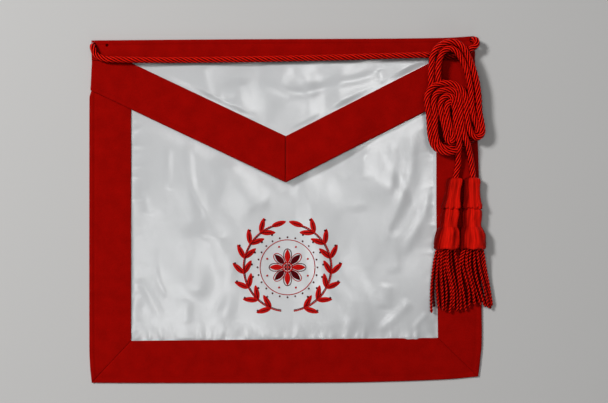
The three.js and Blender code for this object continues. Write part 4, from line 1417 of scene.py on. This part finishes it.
# A satin-stitched shape: a dome with slanting threads, along u from 0 to 1 and v from -1 to 1
def addSatinStitch(pile, foot, turn, length, width, slot, blunt=0.55):
    form = leafStitch
    u = np.linspace(0, 1, form["along"])[:, None]
    v = np.linspace(-1, 1, form["across"])[None, :]
    taper = form["footWide"] - form["narrowing"] * u
    half = np.maximum(width / 2 * np.sin(math.pi * u) ** blunt * taper, form["leastHalf"])
    run = u * length + form["slant"] * np.abs(v) * half
    sway = form["threadSway"] * np.sin(form["swayTurn"] * u)
    wave = np.abs(np.sin(math.pi * (run + sway) / form["threadPitch"]))
    relief, vein = form["threadDepth"] * wave, form["vein"] * hump(v, 0, form["veinWidth"])
    dome = form["dome"] * np.sqrt(np.clip(1 - v ** 2, 0, 1))
    dome = dome * np.clip(half / (width / 2), form["leastDome"], 1)
    top = dome + (relief - vein) * np.clip(form["reliefTo"] - np.abs(v), 0, 1)
    px, py = turnedPoint(foot, turn, u * length + 0 * v, v * half)
    points = np.stack([px, py, clothLevel(px, py) + top + form["above"]], -1).reshape(-1, 3) * mm
    loop = edgeLoop(*px.shape)
    low = np.arange(len(loop)) + len(points)
    # Painted highlight and shade: thread ridges are painted lighter and the vein's groove darker
    bright = form["bright"] + form["threadBright"] * (relief - form["evenThread"]) - form["veinDark"] * vein
    across = run / form["threadPitch"] * form["threadShare"]
    marks = yarnMarks((*px.shape, 3), across, v * half * mm, bright).reshape(-1, 3)
    faces = [gridFaces(*px.shape), wallFaces(loop, low), low[None, :]]
    under = points[loop] - [0, 0, form["wall"] * mm]
    pile.add(np.vstack([points, under]), faces, np.vstack([marks, marks[loop]]), slot)


def addThread(pile, plan, thread, slot, above=0.35):
    line = [(x * mm, y * mm, (float(clothLevel(x, y)) + above) * mm) for x, y in plan]
    steps = evenSteps(smoothCurve(line, 8), thread["step"])
    addRope(pile, steps, thread, slot, phase=dice.uniform(0, 6))


# A knot of thread: a small coil that closes as it climbs
def addKnot(pile, place, size, slot):
    level = float(clothLevel(*place))
    plan = []
    for k in range(knot["points"]):
        turn = k * knot["turn"]
        away = size * (1 - knot["closing"] * k)
        x, y = place[0] + away * math.cos(turn), place[1] + away * math.sin(turn)
        plan.append((x * mm, y * mm, (level + (knot["lift"] + knot["climb"] * k)) * mm))
    addRope(pile, evenSteps(smoothCurve(plan, 6), knotThread["step"]), knotThread, slot)


def ringPoint(radius, degrees):
    turn = math.radians(degrees)
    return embroidery["x"] + radius * math.cos(turn), embroidery["y"] + radius * math.sin(turn)


def makeSpray(side, name, node):
    pile = MeshPile()
    radius, pairs = spray["radius"], spray["leafPairs"]

    def turned(angle):
        return 180 - angle if side < 0 else angle

    angles = [turned(angle) for angle in np.linspace(spray["from"], spray["to"], spray["stemPoints"])]
    addThread(pile, [ringPoint(radius, angle) for angle in angles], stemThread, red)
    beside = [ringPoint(radius - spray["stemGap"], angle) for angle in angles]
    addThread(pile, beside, outlineThread, maroon, spray["besideAbove"])
    start = spray["from"] + spray["bareStem"]
    for i in range(pairs + 1):
        angle = start + (spray["to"] - start) * i / pairs
        last = i == pairs
        foot = ringPoint(radius, turned(angle - (spray["tipBack"] if last else 0)))
        for splay in ((0,) if last else (-spray["splay"], spray["splay"])):
            turn = math.radians(turned(angle + 90) + splay)
            addSatinStitch(pile, foot, turn, spray["leafLength"], spray["leafWidth"], red)
            vein = [turnedPoint(foot, turn, along, 0) for along in spray["vein"]]
            addThread(pile, vein, outlineThread, maroon, spray["veinAbove"])
        if not last:
            for reach in (spray["knotReach"], -spray["knotReach"]):
                place = ringPoint(radius + reach, turned(angle + spray["knotAfter"]))
                addKnot(pile, place, spray["knotSize"], maroon)
    return pile.piece(name, threads, "embroidery", node)


def addPetal(pile, i):
    angle = 360 / rosette["petals"] * i
    foot = ringPoint(rosette["hub"] - rosette["petalFoot"], angle)
    turn = math.radians(angle)
    length = rosette["radius"] - rosette["hub"]
    width = rosette["petalWidth"] * rosette["petalFull"]
    addSatinStitch(pile, foot, turn, length, width, i % 2, blunt=rosette["petalBlunt"])
    rim = []
    for t in 2 * math.pi * np.linspace(0, 1, rosette["rimPoints"]):
        along = length * (0.5 - rosette["rimLong"] * math.cos(t))
        wider = rosette["rimFoot"] + rosette["rimTip"] * along / length
        aside = rosette["petalWidth"] / 2 * rosette["rimWide"] * math.sin(t) * wider
        rim.append(turnedPoint(foot, turn, along, aside))
    addThread(pile, rim, outlineThread, 1 - i % 2)
    tip = ringPoint(rosette["radius"] + rosette["tip"], angle + 180 / rosette["petals"])
    addKnot(pile, tip, rosette["tipSize"], red)


def makeRosette():
    pile = MeshPile()
    for i in range(rosette["petals"]):
        addPetal(pile, i)
    for k in range(rosette["knots"]):
        place = ringPoint(rosette["knotRing"] if k else 0, k * rosette["knotTurn"])
        addKnot(pile, place, rosette["knotSize"], k % 2)
    hubRing = rosette["hub"] - rosette["hubRing"]
    addThread(pile, [ringPoint(hubRing, a) for a in range(0, 361, 24)], stemThread, red)
    addThread(pile, [ringPoint(rosette["ring"], a) for a in range(0, 361, 12)], outlineThread, red)
    for a in range(0, 360, 15):
        addKnot(pile, ringPoint(rosette["dots"], a), rosette["dotSize"], maroon)
    return pile.piece("embroideredRosette", threads, "embroidery", "embroidered_rosette")


sprayLeft = makeSpray(-1, "embroideredSprayLeft", "embroidered_spray_left")
sprayRight = makeSpray(1, "embroideredSprayRight", "embroidered_spray_right")
rosettePiece = makeRosette()
say("embroidery")


# Studio: a pale floor, a wide softbox over the camera, two small ones that give the satin its
# patches of sheen, one from the upper left for the shadows, and a weak one from below
studio = {
    "floor": (0.57, 0.564, 0.555, 1), "reach": 9.0, "near": 0.45, "far": 1.5, "world": 0.1, "backdrop": 0.3,
}
studioLights = [
    {"name": "overheadSoftbox", "at": (-0.02, -0.03, 1.76), "size": (1.5, 1.3), "power": 1.4, "gloss": True},
    {"name": "sheenRight", "at": (0.36, 0.32, 1.75), "size": (0.32, 0.32), "power": 2.8, "gloss": True},
    {"name": "sheenLeft", "at": (-0.42, -0.36, 1.75), "size": (0.3, 0.3), "power": 2.2, "gloss": True},
    {"name": "keySoftbox", "at": (-1.5, 0.88, 1.85), "size": (0.5, 0.5), "power": 47, "gloss": False},
    {"name": "lowSoftbox", "at": (0.5, -2.0, 1.5), "size": (0.7, 0.7), "power": 2.4, "gloss": True},
]
black = (0, 0, 0, 1)


# The floor turns into the backdrop's own plain grey further out, so that no edge of it shows
def makeFloor():
    mesh = bpy.data.meshes.new("studioFloor")
    corners = [(x * studio["reach"], y * studio["reach"], 0) for x, y in ((-1, -1), (1, -1), (1, 1), (-1, 1))]
    mesh.from_pydata(corners, [], [(0, 1, 2, 3)])
    finish, tree, shader = newMaterial(
        "floorPale", {"Roughness": 0.9, "Specular IOR Level": 0.0, "Emission Strength": 1.0})
    place = addNode(tree, "ShaderNodeTexCoord").outputs["Object"]
    away = addNode(tree, "ShaderNodeVectorMath", {0: place}, operation="LENGTH").outputs["Value"]
    fade = addNode(
        tree, "ShaderNodeMapRange", {"Value": away, "From Min": studio["near"], "From Max": studio["far"]},
        interpolation_type="SMOOTHSTEP").outputs["Result"]
    level = studio["world"] + studio["backdrop"]
    for label, near, far in (
            ("Base Color", studio["floor"], black), ("Emission Color", black, (level, level, level, 1))):
        blend = addNode(tree, "ShaderNodeMix", {"Factor": fade, "A": near, "B": far}, data_type="RGBA")
        tree.links.new(blend.outputs["Result"], shader[label])
    mesh.materials.append(finish)
    putInScene("studioFloor", mesh)


def makeLight(spec):
    data = bpy.data.lights.new(spec["name"], "AREA")
    data.shape = "RECTANGLE"
    data.size, data.size_y = spec["size"]
    data.energy = spec["power"]
    lamp = putInScene(spec["name"], data)
    lamp.location = spec["at"]
    lamp.rotation_euler = (-lamp.location).to_track_quat("-Z", "Y").to_euler()
    lamp.visible_glossy = spec["gloss"]


# A dim white world, which is brighter only where the camera sees it as the backdrop
def makeWorld():
    world = bpy.data.worlds.new("studioWorld")
    world.use_nodes = True
    tree = world.node_tree
    background = tree.nodes["Background"].inputs
    background["Color"].default_value = (1, 1, 1, 1)
    seen = addNode(tree, "ShaderNodeLightPath").outputs["Is Camera Ray"]
    strength = maths(tree, "MULTIPLY_ADD", seen, studio["backdrop"], studio["world"])
    tree.links.new(strength, background["Strength"])
    bpy.context.scene.world = world
    bpy.context.scene.view_settings.view_transform = "Standard"


makeFloor()
for spec in studioLights:
    makeLight(spec)
makeWorld()
say("studio")
